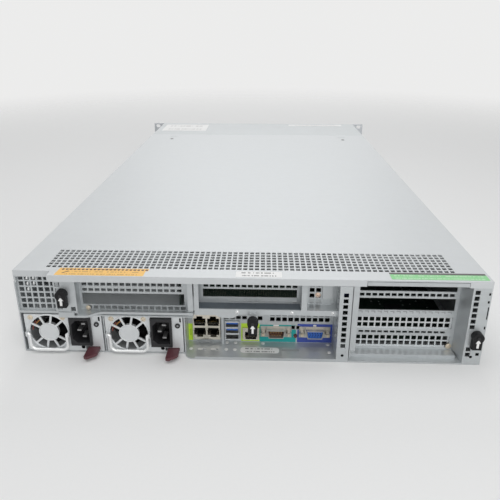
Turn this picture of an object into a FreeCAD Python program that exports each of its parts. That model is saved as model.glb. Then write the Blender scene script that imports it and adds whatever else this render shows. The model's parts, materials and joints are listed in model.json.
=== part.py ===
"""Two-unit rack server, built as separate sheet-metal, plastic and board sub-parts.

Axes: +X is to the right seen from the rear, +Y runs from the rear panel to the drive bays,
+Z is up. The origin is the centre of the chassis underside. Lengths are in millimetres.
Depths written as d are measured forward from the rear plane of the chassis.
"""
import FreeCAD, Part
import math
import os

V = FreeCAD.Vector
HOLED_FACE = "Part::FaceMakerBullseye"

# --- Chassis envelope -------------------------------------------------------------------
BODY_W = 437.0
BODY_H = 88.0
BODY_D = 723.0
EAR_W = 22.8
DISC_SIDES = 20
SHEET = 1.2
FIT_GAP = 0.3
HALF_W = BODY_W / 2
REAR = -BODY_D / 2
FRONT = BODY_D / 2
LEFT_STEP = 8.0
TOP_Z = BODY_H - SHEET
LAP = 10.0
INNER = HALF_W - SHEET
JOG_Z = BODY_H - LAP - SHEET
BAND = INNER - 0.1
RETURN_W = 10.0

# --- Perforated sheet -------------------------------------------------------------------
MESH_PITCH = 6.0
MESH_HOLE = 4.5

# --- Top cover --------------------------------------------------------------------------
COVER_D = 603.0
SEAM = 0.5
COVER_LIP = 6.5
NOTCH_X = -183.0
NOTCH_D = 8.8
VENT_D0 = 18.0
VENT_ROWS = 7
VENT_PITCH = 5.45
VENT_HOLE = 3.9
VENT_GROUPS = 5
HOLES_PER_GROUP = 14
BAR_X0 = 107.0
BAR_X1 = 198.0
BUTTON_X = 171.0
BUTTON_D = 580.0
BUTTON_R = 7.0

# --- Power supplies ---------------------------------------------------------------------
PSU_W = 74.6
PSU_H = 40.0
PSU_L = 196.0
PSU_Z0 = SHEET + FIT_GAP
PSU_PITCH = 77.8
PSU_X = (-177.3, -177.3 + PSU_PITCH)
PSU_SKIN = 1.0
PSU_FACE_D = LEFT_STEP
FAN_X = -14.9
FAN_Z = 22.0
GUARD_R = 18.4
GUARD_HUB_R = 9.8
GUARD_STEP = 18.0
SPOKE_W = 2.0
SPOKE_ANGLES = (42.0, 78.0, 114.0, 150.0, 222.0, 258.0, 294.0, 330.0)
ROTOR_R = 17.6
ROTOR_HUB_R = 9.4
ROTOR_LEN = 11.0
ROTOR_GAP = 3.5
BLADES = 7
BAIL_WIRE = 2.6
BAIL_HALF = 18.0
BAIL_DROP = 18.4
BAIL_OUT = 2.6
BAIL_CORNER = 6.0
BAIL_SIDES = 12
PIN_FIT = 0.06
LUG_T = 1.4
LUG_GAP = 0.2
INLET_X0 = 6.4
INLET_W = 20.5
INLET_Z0 = 8.6
INLET_H = 31.6
INLET_OUT = 2.5
INLET_DEEP = 19.0
INLET_CAV_W = 16.4
INLET_CAV_H = 24.4
INLET_CHAMFER = 4.4
TAB_X = 27.6
TAB_W = 11.0
TAB_Z = 4.6
TAB_T = 3.0
TAB_OUT = 16.0
TAB_IN = 12.0
TAB_TRAVEL = 2.5
LAMP_X = 32.6
LAMP_Z = 32.2
LAMP_R = 2.6

# --- Power supply bay -------------------------------------------------------------------
BAY_TOP = 42.3
BAY_L = 214.0

# --- Riser cages ------------------------------------------------------------------------
A_PANEL_D = 14.0
A_POST_D = 4.0
A_X0 = -161.0
A_X1 = -56.0
A_POST_X0 = -180.0
B_PANEL_D = 17.0
B_X0 = -50.0
B_X1 = 83.5
B_LEDGE_Z = 52.2
C_PANEL_D = 17.0
C_X0 = 96.0
C_X1 = 198.0
SLOT_PITCH = 20.32
SLOT_LOW_Z = 12.8
SLOT_H = 13.0
SLOT_X0 = 103.0
SLOT_X1 = 195.0
POST_C_X0 = 83.5
POST_C_X1 = 95.0
POST_R_X0 = 201.5
LEVER_W = 8.6
LEVER_H = 18.0
LEVER_T = 5.6
LEVER_LOBE = 5.2

# --- Input and output wall --------------------------------------------------------------
IO_D = 27.0
IO_X0 = -60.0
IO_TOP = 52.0
LAN_X = -41.6
LAN_Z = 19.8
LAN_W = 27.0
LAN_H = 29.4
JACK_W = 11.8
JACK_H = 8.4
JACK_PITCH_X = 13.4
JACK_PITCH_Z = 14.2
PORT_OUT = 3.0
MGMT_X = 2.4
MGMT_Z = 11.4
MGMT_W = 16.4
MGMT_H = 13.6
USB_X = -16.2
USB_Z = 15.2
USB_W = 14.0
USB_H = 21.6
USB_STEP = 7.0
SERIAL_X = 27.4
VGA_X = 65.6
DSUB_Z = 14.0
JACKSCREW = 12.5
ID_X = 46.8
ID_Z = 9.3
ID_R = 1.7
BOARD_TOP = 4.4
BOARD_T = 1.6

# --- Drive bays -------------------------------------------------------------------------
BAY_COLS = 4
BAY_ROWS = 2
COL_PITCH = (BODY_W - 2 * SHEET) / BAY_COLS
ROW_PITCH = 29.4
ROW_Z0 = 15.6
CARRIER_W = 106.0
CARRIER_H = 27.4
CARRIER_OUT = 5.0
BEZEL_D = 17.0
CARRIER_L = 190.0
CAGE_L = 205.0
LEVER_LEN = 84.0
CLIP_T = 4.4
CLIP_H = 19.0
CLIP_GAP = 0.5
SHELF_Z = 60.2

# --- Fan wall ---------------------------------------------------------------------------
FAN_WALL_D = 372.0
FAN_T = 32.0
FAN_SIDE = 80.0
FAN_PITCH = 102.0
FAN_MID_Z = 43.0
SYS_R = 36.6
SYS_HUB_R = 19.0
SYS_BORE = 37.6
SYS_BLADES = 5
SYS_BLADE_L = 24.0

# --- Rack ears --------------------------------------------------------------------------
EAR_T = 3.0
EAR_SLOT_X = BODY_W / 2 + EAR_W - 8.75
EAR_SLOT_Z = 38.1
EAR_SLOT_L = 10.0
EAR_SLOT_W = 6.8
EAR_ARM = 46.0
HANDLE_X = BODY_W / 2 + EAR_W - 8.3
HANDLE_W = 8.0
HANDLE_T = 6.0
HANDLE_R = 9.0
HANDLE_OUT = 30.0
HANDLE_HALF = 29.0
PANEL_X0 = BODY_W / 2 + 1.0
PANEL_W = 8.0
PANEL_OUT = 5.0
POWER_Z = 62.0
POWER_R = 2.6
SET_Z = 50.0
SET_R = 2.0
BUTTON_STEM = 3.0


def depth(d):
    """Y of a point d millimetres in front of the rear plane."""
    return REAR + d


def box(x0, x1, y0, y1, z0, z1):
    """Axis-aligned block between two corners."""
    return Part.makeBox(x1 - x0, y1 - y0, z1 - z0, V(x0, y0, z0))


def rod(centre, direction, radius, length):
    """Cylinder starting at centre and running along direction."""
    return Part.makeCylinder(radius, length, centre, direction)


def loop_xz(points, y):
    """Closed wire through (x, z) points in the plane at y."""
    return Part.makePolygon([V(x, y, z) for x, z in points] + [V(points[0][0], y, points[0][1])])


def wall(points, y, thick, holes=()):
    """Sheet standing across Y with an (x, z) outline and polygonal holes."""
    wires = [loop_xz(points, y)] + [loop_xz(hole, y) for hole in holes]
    return Part.makeFace(wires, HOLED_FACE).extrude(V(0, thick, 0))


def slab(points, z, thick, holes=()):
    """Level sheet with an (x, y) outline and polygonal holes."""
    wires = []
    for ring in [points] + list(holes):
        closed = list(ring) + [ring[0]]
        wires.append(Part.makePolygon([V(x, y, z) for x, y in closed]))
    return Part.makeFace(wires, HOLED_FACE).extrude(V(0, 0, thick))


def rect(x0, x1, z0, z1):
    """Corner points of a rectangle."""
    return [(x0, z0), (x1, z0), (x1, z1), (x0, z1)]


def grid(x_mid, z_mid, columns, rows, pitch_x, pitch_z, width, height):
    """Rectangles centred on a regular grid."""
    cells = []
    for row in range(rows):
        for column in range(columns):
            x = x_mid + (column - (columns - 1) / 2) * pitch_x
            z = z_mid + (row - (rows - 1) / 2) * pitch_z
            cells.append(rect(x - width / 2, x + width / 2, z - height / 2, z + height / 2))
    return cells


def mesh(x_mid, z_mid, columns, rows, height=MESH_HOLE):
    """Square-hole pattern of the perforated sheet."""
    return grid(x_mid, z_mid, columns, rows, MESH_PITCH, MESH_PITCH, MESH_HOLE, height)


def side_mesh(x, thick, d_mid, z_mid, columns, rows):
    """Blocks that punch the square-hole pattern through a wall standing across X."""
    cells = mesh(d_mid, z_mid, columns, rows)
    return [box(x - thick, x + thick, depth(c[0][0]), depth(c[2][0]), c[0][1], c[2][1])
            for c in cells]


def skin(rings):
    """Closed solid through rings of points of equal count, each patch split on its short way."""
    faces = []
    count = len(rings[0])
    for ring_a, ring_b in zip(rings[:-1], rings[1:]):
        for i in range(count):
            a, b = ring_a[i], ring_a[(i + 1) % count]
            c, d = ring_b[(i + 1) % count], ring_b[i]
            halves = ((a, b, d), (b, c, d))
            if (a - c).Length < (b - d).Length:
                halves = ((a, b, c), (a, c, d))
            for triangle in halves:
                faces.append(Part.Face(Part.makePolygon(list(triangle) + [triangle[0]])))
    for ring in (rings[0], rings[-1]):
        faces.append(Part.Face(Part.makePolygon(list(ring) + [ring[0]])))
    shell = Part.makeShell(faces)
    shell.sewShape()
    solid = Part.makeSolid(shell)
    if solid.Volume < 0:
        solid.reverse()
    return solid


def tube(path, radius, sides):
    """Faceted round bar along a level-sided path in the XZ plane, mitred at each bend."""
    rings = []
    last = len(path) - 1
    for i, point in enumerate(path):
        back = (point - path[i - 1]).normalize() if i else None
        ahead = (path[i + 1] - point).normalize() if i < last else None
        along = (back or ahead) + (ahead or back)
        along.normalize()
        across_path = V(along.z, 0, -along.x)
        stretch = 1 / along.dot(ahead or back)
        ring = []
        for k in range(sides):
            angle = 2 * math.pi * (k + 0.5) / sides
            ring.append(point + across_path * (radius * stretch * math.cos(angle))
                        + V(0, radius * math.sin(angle), 0))
        rings.append(ring)
    return skin(rings)


def disc(centre, axis, radius, length):
    """Disc or bore with many flat sides, its corners on the given radius."""
    first = V(1, 0, 0)
    second = axis.cross(first)
    turns = [2 * math.pi * (k + 0.5) / DISC_SIDES for k in range(DISC_SIDES)]
    ring = [centre + (first * math.cos(t) + second * math.sin(t)) * radius for t in turns]
    return Part.Face(Part.makePolygon(ring + [ring[0]])).extrude(axis * length)


def join(shapes):
    """One clean solid from touching or overlapping pieces."""
    return shapes[0].fuse(list(shapes[1:])).removeSplitter()


def group(shapes):
    """Separate solids kept together as one sub-part."""
    return Part.makeCompound(list(shapes))


def mirror_x(shape):
    """Copy of a shape on the other side of the middle plane."""
    return shape.mirror(V(0, 0, 0), V(1, 0, 0))


def moved(shape, x, y, z):
    """Copy of a shape shifted by a vector."""
    copy = shape.copy()
    copy.translate(V(x, y, z))
    return copy


# --- Chassis ----------------------------------------------------------------------------
def side_wall(d0, lip_d):
    """Right side wall: full height, set in by one sheet where the cover laps over it."""
    profile = [
        (INNER, 0.0), (HALF_W, 0.0), (HALF_W, JOG_Z), (BAND, JOG_Z), (BAND, TOP_Z),
        (BAND - RETURN_W, TOP_Z), (BAND - RETURN_W, TOP_Z - SHEET), (BAND - SHEET, TOP_Z - SHEET),
        (BAND - SHEET, JOG_Z - SHEET), (INNER, JOG_Z - SHEET)]
    body = wall(profile, depth(d0), BODY_D - d0)
    lip_room = box(BAND - RETURN_W - 1, HALF_W + 1, depth(d0) - 1, depth(lip_d + SHEET + 0.1),
                   BODY_H - COVER_LIP - 0.1, BODY_H)
    return body.cut(lip_room)


def across(z0, z1, x0=0.0):
    """Right half outline of a cross sheet that follows the joggled side wall."""
    points = [(x0, z0), (INNER, z0), (INNER, JOG_Z - SHEET), (BAND - SHEET, JOG_Z - SHEET)]
    if z1 > TOP_Z - SHEET:
        points += [(BAND - SHEET, TOP_Z - SHEET), (BAND - RETURN_W, TOP_Z - SHEET),
                   (BAND - RETURN_W, z1)]
    else:
        points.append((BAND - SHEET, z1))
    return points + [(x0, z1)]


def full_span(z0, z1):
    """Outline of a cross sheet that reaches both joggled side walls."""
    right = across(z0, z1)
    return right[1:-1] + [(-x, z) for x, z in reversed(right[1:-1])]


def chassis_tray():
    """Floor with a rounded rear corner and a hem, joined to both side walls."""
    corner_x = -52.5
    radius = LEFT_STEP
    turn = radius * (1 - math.sqrt(0.5))
    start = V(corner_x - radius, depth(LEFT_STEP), 0)
    middle = V(corner_x - radius + turn, depth(turn), 0)
    end = V(corner_x, depth(0), 0)
    corners = [end, V(HALF_W, depth(0), 0), V(HALF_W, FRONT, 0), V(-HALF_W, FRONT, 0),
               V(-HALF_W, depth(LEFT_STEP), 0), start]
    edges = [Part.Arc(start, middle, end).toShape()]
    edges += [Part.makeLine(a, b) for a, b in zip(corners[:-1], corners[1:])]
    floor = Part.Face(Part.Wire(edges)).extrude(V(0, 0, SHEET))
    slots = [box(x - 3.0, x + 3.0, depth(12.0), depth(14.6), -1, SHEET + 1)
             for x in (-44.3, -32.5)]
    floor = floor.cut(group(slots))
    hem = box(corner_x + 2.0, POST_C_X0, depth(0), depth(1.4), SHEET, 2.8)
    right = side_wall(0.0, 0.0)
    left = mirror_x(side_wall(LEFT_STEP, NOTCH_D))
    left = left.cut(group(side_mesh(-HALF_W, 3.0, 38.6, 62.0, 4, 3)))
    right = right.cut(group(side_mesh(HALF_W, 3.0, 44.0, 50.0, 4, 4)))
    return join([floor, hem, left, right])


def rear_frame():
    """Perforated left panel, centre post and right post of the rear wall."""
    left_edge = across(BAY_TOP + SHEET, TOP_Z - SHEET, -A_POST_X0 - 2.5)
    left = wall([(-x, z) for x, z in left_edge], depth(NOTCH_D + SHEET + 0.3), SHEET,
                mesh(-198.0, 64.5, 6, 6))
    bar = box(-INNER, A_POST_X0 - 0.5, depth(LEFT_STEP), depth(NOTCH_D + SHEET + 0.3),
              BAY_TOP + SHEET, BAY_TOP + SHEET + 2.0)
    rows = 10
    post_face = wall(rect(POST_C_X0, POST_C_X1, SHEET, TOP_Z - 5.6), depth(0), SHEET,
                     mesh((POST_C_X0 + POST_C_X1) / 2, 45.0, 1, rows))
    post_side = box(POST_C_X0, POST_C_X0 + SHEET, depth(SHEET), depth(IO_D), SHEET, TOP_Z - 5.6)
    post_side = post_side.cut(group(side_mesh(POST_C_X0, 3.0, 8.0, 45.0, 1, rows)))
    right_face = wall(across(SHEET, BODY_H - COVER_LIP, POST_R_X0), depth(0), SHEET,
                      mesh(POST_R_X0 + 4.2, 59.0, 1, 7) + mesh(POST_R_X0 + 4.2, 14.0, 1, 2))
    right_side = slab([(POST_R_X0, depth(SHEET)), (POST_R_X0 + SHEET, depth(SHEET)),
                       (C_X1 + SHEET, depth(C_PANEL_D)), (C_X1, depth(C_PANEL_D))],
                      SHEET, TOP_Z - 2 * SHEET)
    return group([join([left, bar]), join([post_face, post_side]),
                  join([right_face, right_side])])


def psu_bay():
    """Divider, right wall and roof around the two power supply openings."""
    mid_x = (PSU_X[0] + PSU_X[1]) / 2
    right_x = PSU_X[1] + PSU_W / 2 + 1.0
    d0 = LEFT_STEP + 1.0
    divider = box(mid_x - SHEET / 2, mid_x + SHEET / 2, depth(d0), depth(BAY_L),
                  SHEET, BAY_TOP)
    right = box(right_x, right_x + SHEET, depth(LEFT_STEP), depth(BAY_L), SHEET, BAY_TOP)
    roof = box(-HALF_W + SHEET, right_x + SHEET, depth(d0), depth(BAY_L),
               BAY_TOP, BAY_TOP + SHEET)
    return join([divider, right, roof])


# --- Top cover --------------------------------------------------------------------------
def top_cover():
    """Sliding cover: notched rear corner, lapped sides, rear lip and a vent field."""
    outline = [
        (-HALF_W, depth(NOTCH_D)), (NOTCH_X, depth(NOTCH_D)), (NOTCH_X, depth(0)),
        (HALF_W, depth(0)), (HALF_W, depth(COVER_D)), (-HALF_W, depth(COVER_D))]
    slot_w = VENT_PITCH * (HOLES_PER_GROUP - 1) + VENT_HOLE
    vent_y = depth(VENT_D0 + VENT_PITCH * (VENT_ROWS - 1) / 2)
    vents = grid(0.0, vent_y, VENT_GROUPS, VENT_ROWS, VENT_PITCH * HOLES_PER_GROUP,
                 VENT_PITCH, slot_w, VENT_HOLE)
    top = slab(outline, TOP_Z, SHEET, vents)
    for side in (-1, 1):
        hole = disc(V(side * BUTTON_X, depth(BUTTON_D), TOP_Z - 1), V(0, 0, 1),
                    BUTTON_R + FIT_GAP, SHEET + 2)
        top = top.cut(hole)
    lip_z = BODY_H - COVER_LIP
    lip_left = box(-HALF_W, NOTCH_X + SHEET, depth(NOTCH_D), depth(NOTCH_D + SHEET), lip_z, TOP_Z)
    lip_main = box(NOTCH_X, BAR_X0, depth(0), depth(SHEET), lip_z, TOP_Z)
    lip_turn = box(NOTCH_X, NOTCH_X + SHEET, depth(0), depth(NOTCH_D), lip_z, TOP_Z)
    lip_right = box(BAR_X1, HALF_W, depth(0), depth(SHEET), lip_z, TOP_Z)
    right = box(HALF_W - SHEET, HALF_W, depth(0), depth(COVER_D), BODY_H - LAP, TOP_Z)
    left = box(-HALF_W, -HALF_W + SHEET, depth(NOTCH_D), depth(COVER_D), BODY_H - LAP, TOP_Z)
    hems = [lip_left, lip_main, lip_turn, lip_right, right, left]
    return join([top] + hems)


def cover_button(side):
    """Round push button that frees the cover, with a stem under the sheet."""
    head = disc(V(side * BUTTON_X, depth(BUTTON_D), TOP_Z - FIT_GAP), V(0, 0, 1),
                BUTTON_R, SHEET + FIT_GAP)
    flange = disc(V(side * BUTTON_X, depth(BUTTON_D), TOP_Z - 1.7), V(0, 0, 1),
                  BUTTON_R + 2.0, 1.4)
    return join([head, flange])


# --- Power supply -----------------------------------------------------------------------
def sector(x, z, y, inner, outer, a0, a1, thick):
    """Opening between two spokes of the finger guard."""
    def point(radius, angle):
        a = math.radians(angle)
        return V(x + radius * math.cos(a), y, z + radius * math.sin(a))
    off_in = math.degrees(SPOKE_W / 2 / inner)
    off_out = math.degrees(SPOKE_W / 2 / outer)
    steps = max(2, round((a1 - a0) / GUARD_STEP))
    near = [point(inner, a0 + off_in + (a1 - a0 - 2 * off_in) * k / steps)
            for k in range(steps + 1)]
    far = [point(outer, a0 + off_out + (a1 - a0 - 2 * off_out) * k / steps)
           for k in range(steps + 1)]
    ring = near + far[::-1]
    return Part.Face(Part.makePolygon(ring + [ring[0]])).extrude(V(0, thick, 0))


def psu_case(x):
    """Steel case with the finger guard punched in its rear face and vents at its far end."""
    y0 = depth(PSU_FACE_D)
    y1 = y0 + PSU_L
    half = PSU_W / 2
    outer = box(x - half, x + half, y0, y1, PSU_Z0, PSU_Z0 + PSU_H)
    hollow = box(x - half + PSU_SKIN, x + half - PSU_SKIN, y0 + PSU_SKIN, y1 - PSU_SKIN,
                 PSU_Z0 + PSU_SKIN, PSU_Z0 + PSU_H - PSU_SKIN)
    case = outer.cut(hollow)
    cuts = []
    turns = list(SPOKE_ANGLES) + [SPOKE_ANGLES[0] + 360.0]
    for a0, a1 in zip(turns[:-1], turns[1:]):
        cuts.append(sector(x + FAN_X, FAN_Z, y0 - 1, GUARD_HUB_R, GUARD_R, a0, a1,
                           PSU_SKIN + 2))
    inlet_x = x + INLET_X0
    cuts.append(box(inlet_x + 1.0, inlet_x + INLET_W - 1.0, y0 - 1, y0 + PSU_SKIN + 1,
                    INLET_Z0 + 1.0, INLET_Z0 + INLET_H - 1.0))
    tab_x = x + TAB_X
    half_tab = TAB_W / 2 + FIT_GAP
    cuts.append(box(tab_x - half_tab - TAB_TRAVEL, tab_x + half_tab, y0 - 1,
                    y0 + PSU_SKIN + 1, TAB_Z - TAB_T / 2 - FIT_GAP,
                    TAB_Z + TAB_T / 2 + FIT_GAP))
    vents = grid(x, PSU_Z0 + PSU_H / 2, 3, 1, 20.0, 1.0, 14.0, 24.0)
    cuts += [wall(cell, y1 - PSU_SKIN - 1, PSU_SKIN + 2) for cell in vents]
    case = case.cut(group(cuts))
    bosses = []
    lug_in = BAIL_HALF + BAIL_WIRE / 2 + LUG_GAP
    for side in (-1, 1):
        lug_x = x + FAN_X + side * (lug_in + LUG_T / 2)
        lug = box(lug_x - LUG_T / 2, lug_x + LUG_T / 2, y0 - BAIL_OUT - 2.2, y0,
                  FAN_Z - 2.4, FAN_Z + 2.4)
        bore = rod(V(lug_x - LUG_T, y0 - BAIL_OUT, FAN_Z), V(1, 0, 0),
                   BAIL_WIRE / 2 + PIN_FIT, 2 * LUG_T)
        bosses.append(lug.cut(bore))
    lamp = disc(V(x + LAMP_X, y0, LAMP_Z), V(0, -1, 0), LAMP_R, 0.8)
    motor = disc(V(x + FAN_X, y0 + PSU_SKIN, FAN_Z), V(0, 1, 0), ROTOR_HUB_R - 0.6,
                 ROTOR_GAP - 0.4)
    return join([case] + bosses + [lamp, motor])


def psu_inlet(x):
    """Appliance inlet turned on its side: moulded body, chamfered cavity, three blades."""
    y0 = depth(PSU_FACE_D) - INLET_OUT
    face = PSU_FACE_D
    x0 = x + INLET_X0
    x1 = x0 + INLET_W
    z1 = INLET_Z0 + INLET_H
    flange = box(x0, x1, y0, depth(face), INLET_Z0, z1)
    barrel = box(x0 + 1.2, x1 - 1.2, depth(face), y0 + INLET_DEEP, INLET_Z0 + 1.2, z1 - 1.2)
    mid_x = (x0 + x1) / 2
    mid_z = (INLET_Z0 + z1) / 2
    cav_x0 = mid_x - INLET_CAV_W / 2
    cav_x1 = mid_x + INLET_CAV_W / 2
    cav_z0 = mid_z - INLET_CAV_H / 2
    cav_z1 = mid_z + INLET_CAV_H / 2
    cavity = wall([(cav_x0 + INLET_CHAMFER, cav_z0), (cav_x1, cav_z0), (cav_x1, cav_z1),
                   (cav_x0 + INLET_CHAMFER, cav_z1), (cav_x0, cav_z1 - INLET_CHAMFER),
                   (cav_x0, cav_z0 + INLET_CHAMFER)], y0 - 1, INLET_DEEP - 1.0)
    body = join([flange, barrel]).cut(cavity)
    blades = [box(bx - 2.0, bx + 2.0, y0 + 3.0, y0 + INLET_DEEP - 1.0, bz - 1.0, bz + 1.0)
              for bx, bz in ((mid_x - 2.0, mid_z), (mid_x + 2.4, mid_z + 7.0),
                             (mid_x + 2.4, mid_z - 7.0))]
    return join([body] + blades)


def rotor(centre, tip_r, hub_r, length, blades, hub_len):
    """Axial fan rotor: a cup hub and swept, twisted blades lofted from root to tip."""
    x, y, z = centre
    pieces = [disc(V(x, y, z), V(0, 1, 0), hub_r, hub_len)]
    for index in range(blades):
        turn = 360.0 * index / blades
        rings = []
        for share, sweep, chord in ((0.0, 0.0, 0.5), (0.5, 5.0, 0.62), (1.0, 14.0, 0.7)):
            radius = (hub_r - 1.2) * (1 - share) + tip_r * share
            half_len = length * (0.42 - 0.1 * share)
            half_arc = math.pi * radius / blades * chord
            flat = math.sqrt(radius ** 2 - half_arc ** 2)
            corners = ((-half_arc, -half_len - 0.4), (-half_arc, -half_len + 0.4),
                       (half_arc, half_len + 0.4), (half_arc, half_len - 0.4))
            spin = FreeCAD.Rotation(V(0, 1, 0), sweep)
            rings.append([spin.multVec(V(flat, y + hub_len / 2 + axial, along))
                          for along, axial in corners])
        blade = skin(rings)
        blade.rotate(V(0, 0, 0), V(0, 1, 0), turn)
        blade.translate(V(x, 0, z))
        pieces.append(blade)
    return join(pieces)


def psu_rotor(x):
    """Small exhaust fan rotor behind the finger guard."""
    y0 = depth(PSU_FACE_D) + PSU_SKIN + ROTOR_GAP
    centre = (x + FAN_X, y0, FAN_Z)
    return rotor(centre, ROTOR_R, ROTOR_HUB_R, ROTOR_LEN, BLADES, ROTOR_LEN)


def psu_bail(x):
    """Wire pull handle around the lower half of the guard, its ends bent out into the lugs."""
    y = depth(PSU_FACE_D) - BAIL_OUT
    cx = x + FAN_X
    z0 = FAN_Z
    z1 = FAN_Z - BAIL_DROP
    r = BAIL_CORNER
    foot = BAIL_WIRE / 2 + LUG_GAP + LUG_T
    left = cx - BAIL_HALF
    right = cx + BAIL_HALF
    turns = [math.radians(t) for t in (0, 22.5, 45, 67.5, 90)]
    path = [V(left - foot, y, z0), V(left, y, z0)]
    path += [V(left + r - r * math.cos(t), y, z1 + r - r * math.sin(t)) for t in turns]
    path += [V(right - r + r * math.sin(t), y, z1 + r - r * math.cos(t)) for t in turns]
    path += [V(right, y, z0), V(right + foot, y, z0)]
    return tube(path, BAIL_WIRE / 2, BAIL_SIDES)


def psu_tab(x):
    """Plastic release tab with a slanted end, sliding sideways in its slot."""
    y0 = depth(PSU_FACE_D)
    tx = x + TAB_X
    half = TAB_W / 2
    outline = [(tx - half, y0 + TAB_IN), (tx - half, y0 - TAB_OUT + 1.0),
               (tx - half + 2.6, y0 - TAB_OUT), (tx + half - 1.0, y0 - TAB_OUT + 5.0),
               (tx + half, y0 - TAB_OUT + 7.0), (tx + half, y0 + TAB_IN)]
    return slab(outline, TAB_Z - TAB_T / 2, TAB_T)


# --- Riser cages ------------------------------------------------------------------------
def riser_cage_left():
    """Left riser cage: post, set-back slot panel, ledge and wavy lower lip."""
    top = TOP_Z - SHEET
    post = wall(rect(A_POST_X0, A_X0 + SHEET, 46.5, 80.6), depth(A_POST_D), SHEET,
                mesh(A_POST_X0 + 4.0, 64.4, 1, 5) + mesh(A_X0 - 2.6, 50.6, 1, 1))
    turn = box(A_X0, A_X0 + SHEET, depth(A_POST_D + SHEET), depth(A_PANEL_D), 44.0, 80.6)
    slots = (mesh(-110.0, 72.5, 16, 1, 5.0) + mesh(-110.0, 65.8, 16, 1, 3.0)
             + [rect(-158.0, -60.5, 50.0, 62.2)] + mesh(-107.0, 46.7, 16, 1, 3.6))
    panel = wall(rect(A_X0, A_X1 + SHEET, 44.0, top), depth(A_PANEL_D), SHEET, slots)
    edge = box(A_X1, A_X1 + SHEET, depth(A_POST_D + 2.0), depth(A_PANEL_D), 44.0, 80.6)
    flange = box(A_X1, A_X1 + 5.0, depth(A_POST_D + 1.0), depth(A_POST_D + 2.0), 44.0, 80.6)
    ledge = box(A_X0, A_X1 + 5.0, depth(A_POST_D), depth(A_PANEL_D), 43.5, 44.5)
    low = 41.9
    lip = wall([(A_POST_X0 + 2.0, low), (-153.0, low), (-147.0, low + 0.9), (-141.0, low + 3.6),
                (-135.0, low + 4.6), (A_X1 + 5.0, low + 4.6), (A_X1 + 5.0, low + 6.8),
                (-136.0, low + 6.8), (-142.5, low + 5.6), (-149.0, low + 2.8),
                (-154.0, low + 2.0), (A_X0 - 2.0, low + 2.0), (A_X0 - 2.0, 46.5),
                (A_POST_X0 + 2.0, 46.5)], depth(A_POST_D - 1.0), 1.0)
    tie = box(A_POST_X0 + 2.0, A_X0 - 2.0, depth(A_POST_D - 1.0), depth(A_POST_D + SHEET),
              45.5, 47.5)
    return join([post, turn, panel, edge, flange, ledge, lip, tie])


def riser_cage_middle():
    """Middle riser cage: slot panel, dark shelf below it and a bright divider post."""
    top = TOP_Z - SHEET
    slots = (mesh(2.0, 70.5, 15, 1, 3.8) + [rect(-43.0, 46.0, 58.2, 67.0)]
             + mesh(13.5, 54.6, 11, 1, 2.6) + mesh(63.2, 64.2, 2, 4))
    panel = wall(rect(B_X0, B_X1, B_LEDGE_Z, top), depth(B_PANEL_D), SHEET, slots)
    ledge = box(B_X0, B_X1, depth(6.4), depth(B_PANEL_D + SHEET), B_LEDGE_Z - 1.0, B_LEDGE_Z)
    lip = wall([(B_X0, 45.6), (-30.0, 45.6), (-25.0, 42.8), (-14.0, 42.8), (-8.0, 46.6),
                (B_X1, 46.6), (B_X1, B_LEDGE_Z), (B_X0, B_LEDGE_Z)], depth(5.4), 1.0)
    left = box(B_X0, B_X0 + SHEET, depth(5.4), depth(B_PANEL_D), B_LEDGE_Z, 80.6)
    left_face = box(B_X0, B_X0 + 4.4, depth(5.4), depth(6.4), B_LEDGE_Z, 80.6)
    post = box(49.6, 54.8, depth(5.4), depth(6.6), B_LEDGE_Z, 80.6)
    web = box(51.6, 52.8, depth(6.6), depth(B_PANEL_D), B_LEDGE_Z, 80.6)
    plate = box(69.8, 79.4, depth(B_PANEL_D - 2.0), depth(B_PANEL_D), 58.6, 76.0)
    hook = box(1.6, 7.8, depth(3.0), depth(5.4), 46.6, 50.0)
    return join([panel, ledge, lip, left, left_face, post, web, plate, hook])


def slot_z(index):
    """Mid height of an expansion slot, counted from the floor."""
    return SLOT_LOW_Z + index * SLOT_PITCH


def riser_cage_right():
    """Right riser cage: four slot positions on a set-back panel between two side walls."""
    half = SLOT_H / 2
    slots = [rect(SLOT_X0, SLOT_X1, slot_z(i) - half, slot_z(i) + half) for i in range(4)]
    slots += mesh(149.0, (slot_z(2) + slot_z(3)) / 2, 15, 1, 3.2)
    slots += mesh(148.0, (slot_z(0) + slot_z(1)) / 2, 14, 1, 2.4)
    panel = wall(rect(C_X0, C_X1, 4.2, TOP_Z - SHEET), depth(C_PANEL_D), SHEET, slots)
    left = box(C_X0, C_X0 + SHEET, depth(1.6), depth(C_PANEL_D), 4.2, 80.6)
    left_face = box(C_X0, C_X0 + 5.4, depth(1.6), depth(2.8), 12.0, 80.6)
    bar = box(BAR_X0 + 0.4, BAR_X1 - 0.4, depth(0), depth(SHEET), 82.4, 86.2)
    arm = box(BAR_X0 + 0.4, BAR_X1 - 0.4, depth(SHEET), depth(C_PANEL_D), 85.2, 86.2)
    shelf = box(C_X0, C_X1, depth(8.0), depth(C_PANEL_D + SHEET), 3.2, 4.2)
    shelf_lip = box(C_X0, C_X1, depth(7.0), depth(8.0), SHEET, 4.2)
    return join([panel, left, left_face, bar, arm, shelf, shelf_lip])


def slot_covers():
    """Vented brackets closing the two lower slots of the right riser cage."""
    covers = []
    for index in range(2):
        z = slot_z(index)
        cover = wall(rect(SLOT_X0 - 3.0, SLOT_X1 + 3.0, z - SLOT_H / 2 - 1.0,
                          z + SLOT_H / 2 + 1.0),
                     depth(C_PANEL_D + SHEET), 0.9, mesh(148.8, z, 15, 2))
        foot = box(SLOT_X1 - 2.0, SLOT_X1 + 2.6, depth(C_PANEL_D + SHEET + 0.9),
                   depth(C_PANEL_D + 12.0), z - 4.0, z + 4.0)
        covers.append(join([cover, foot]))
    return group(covers)


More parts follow.
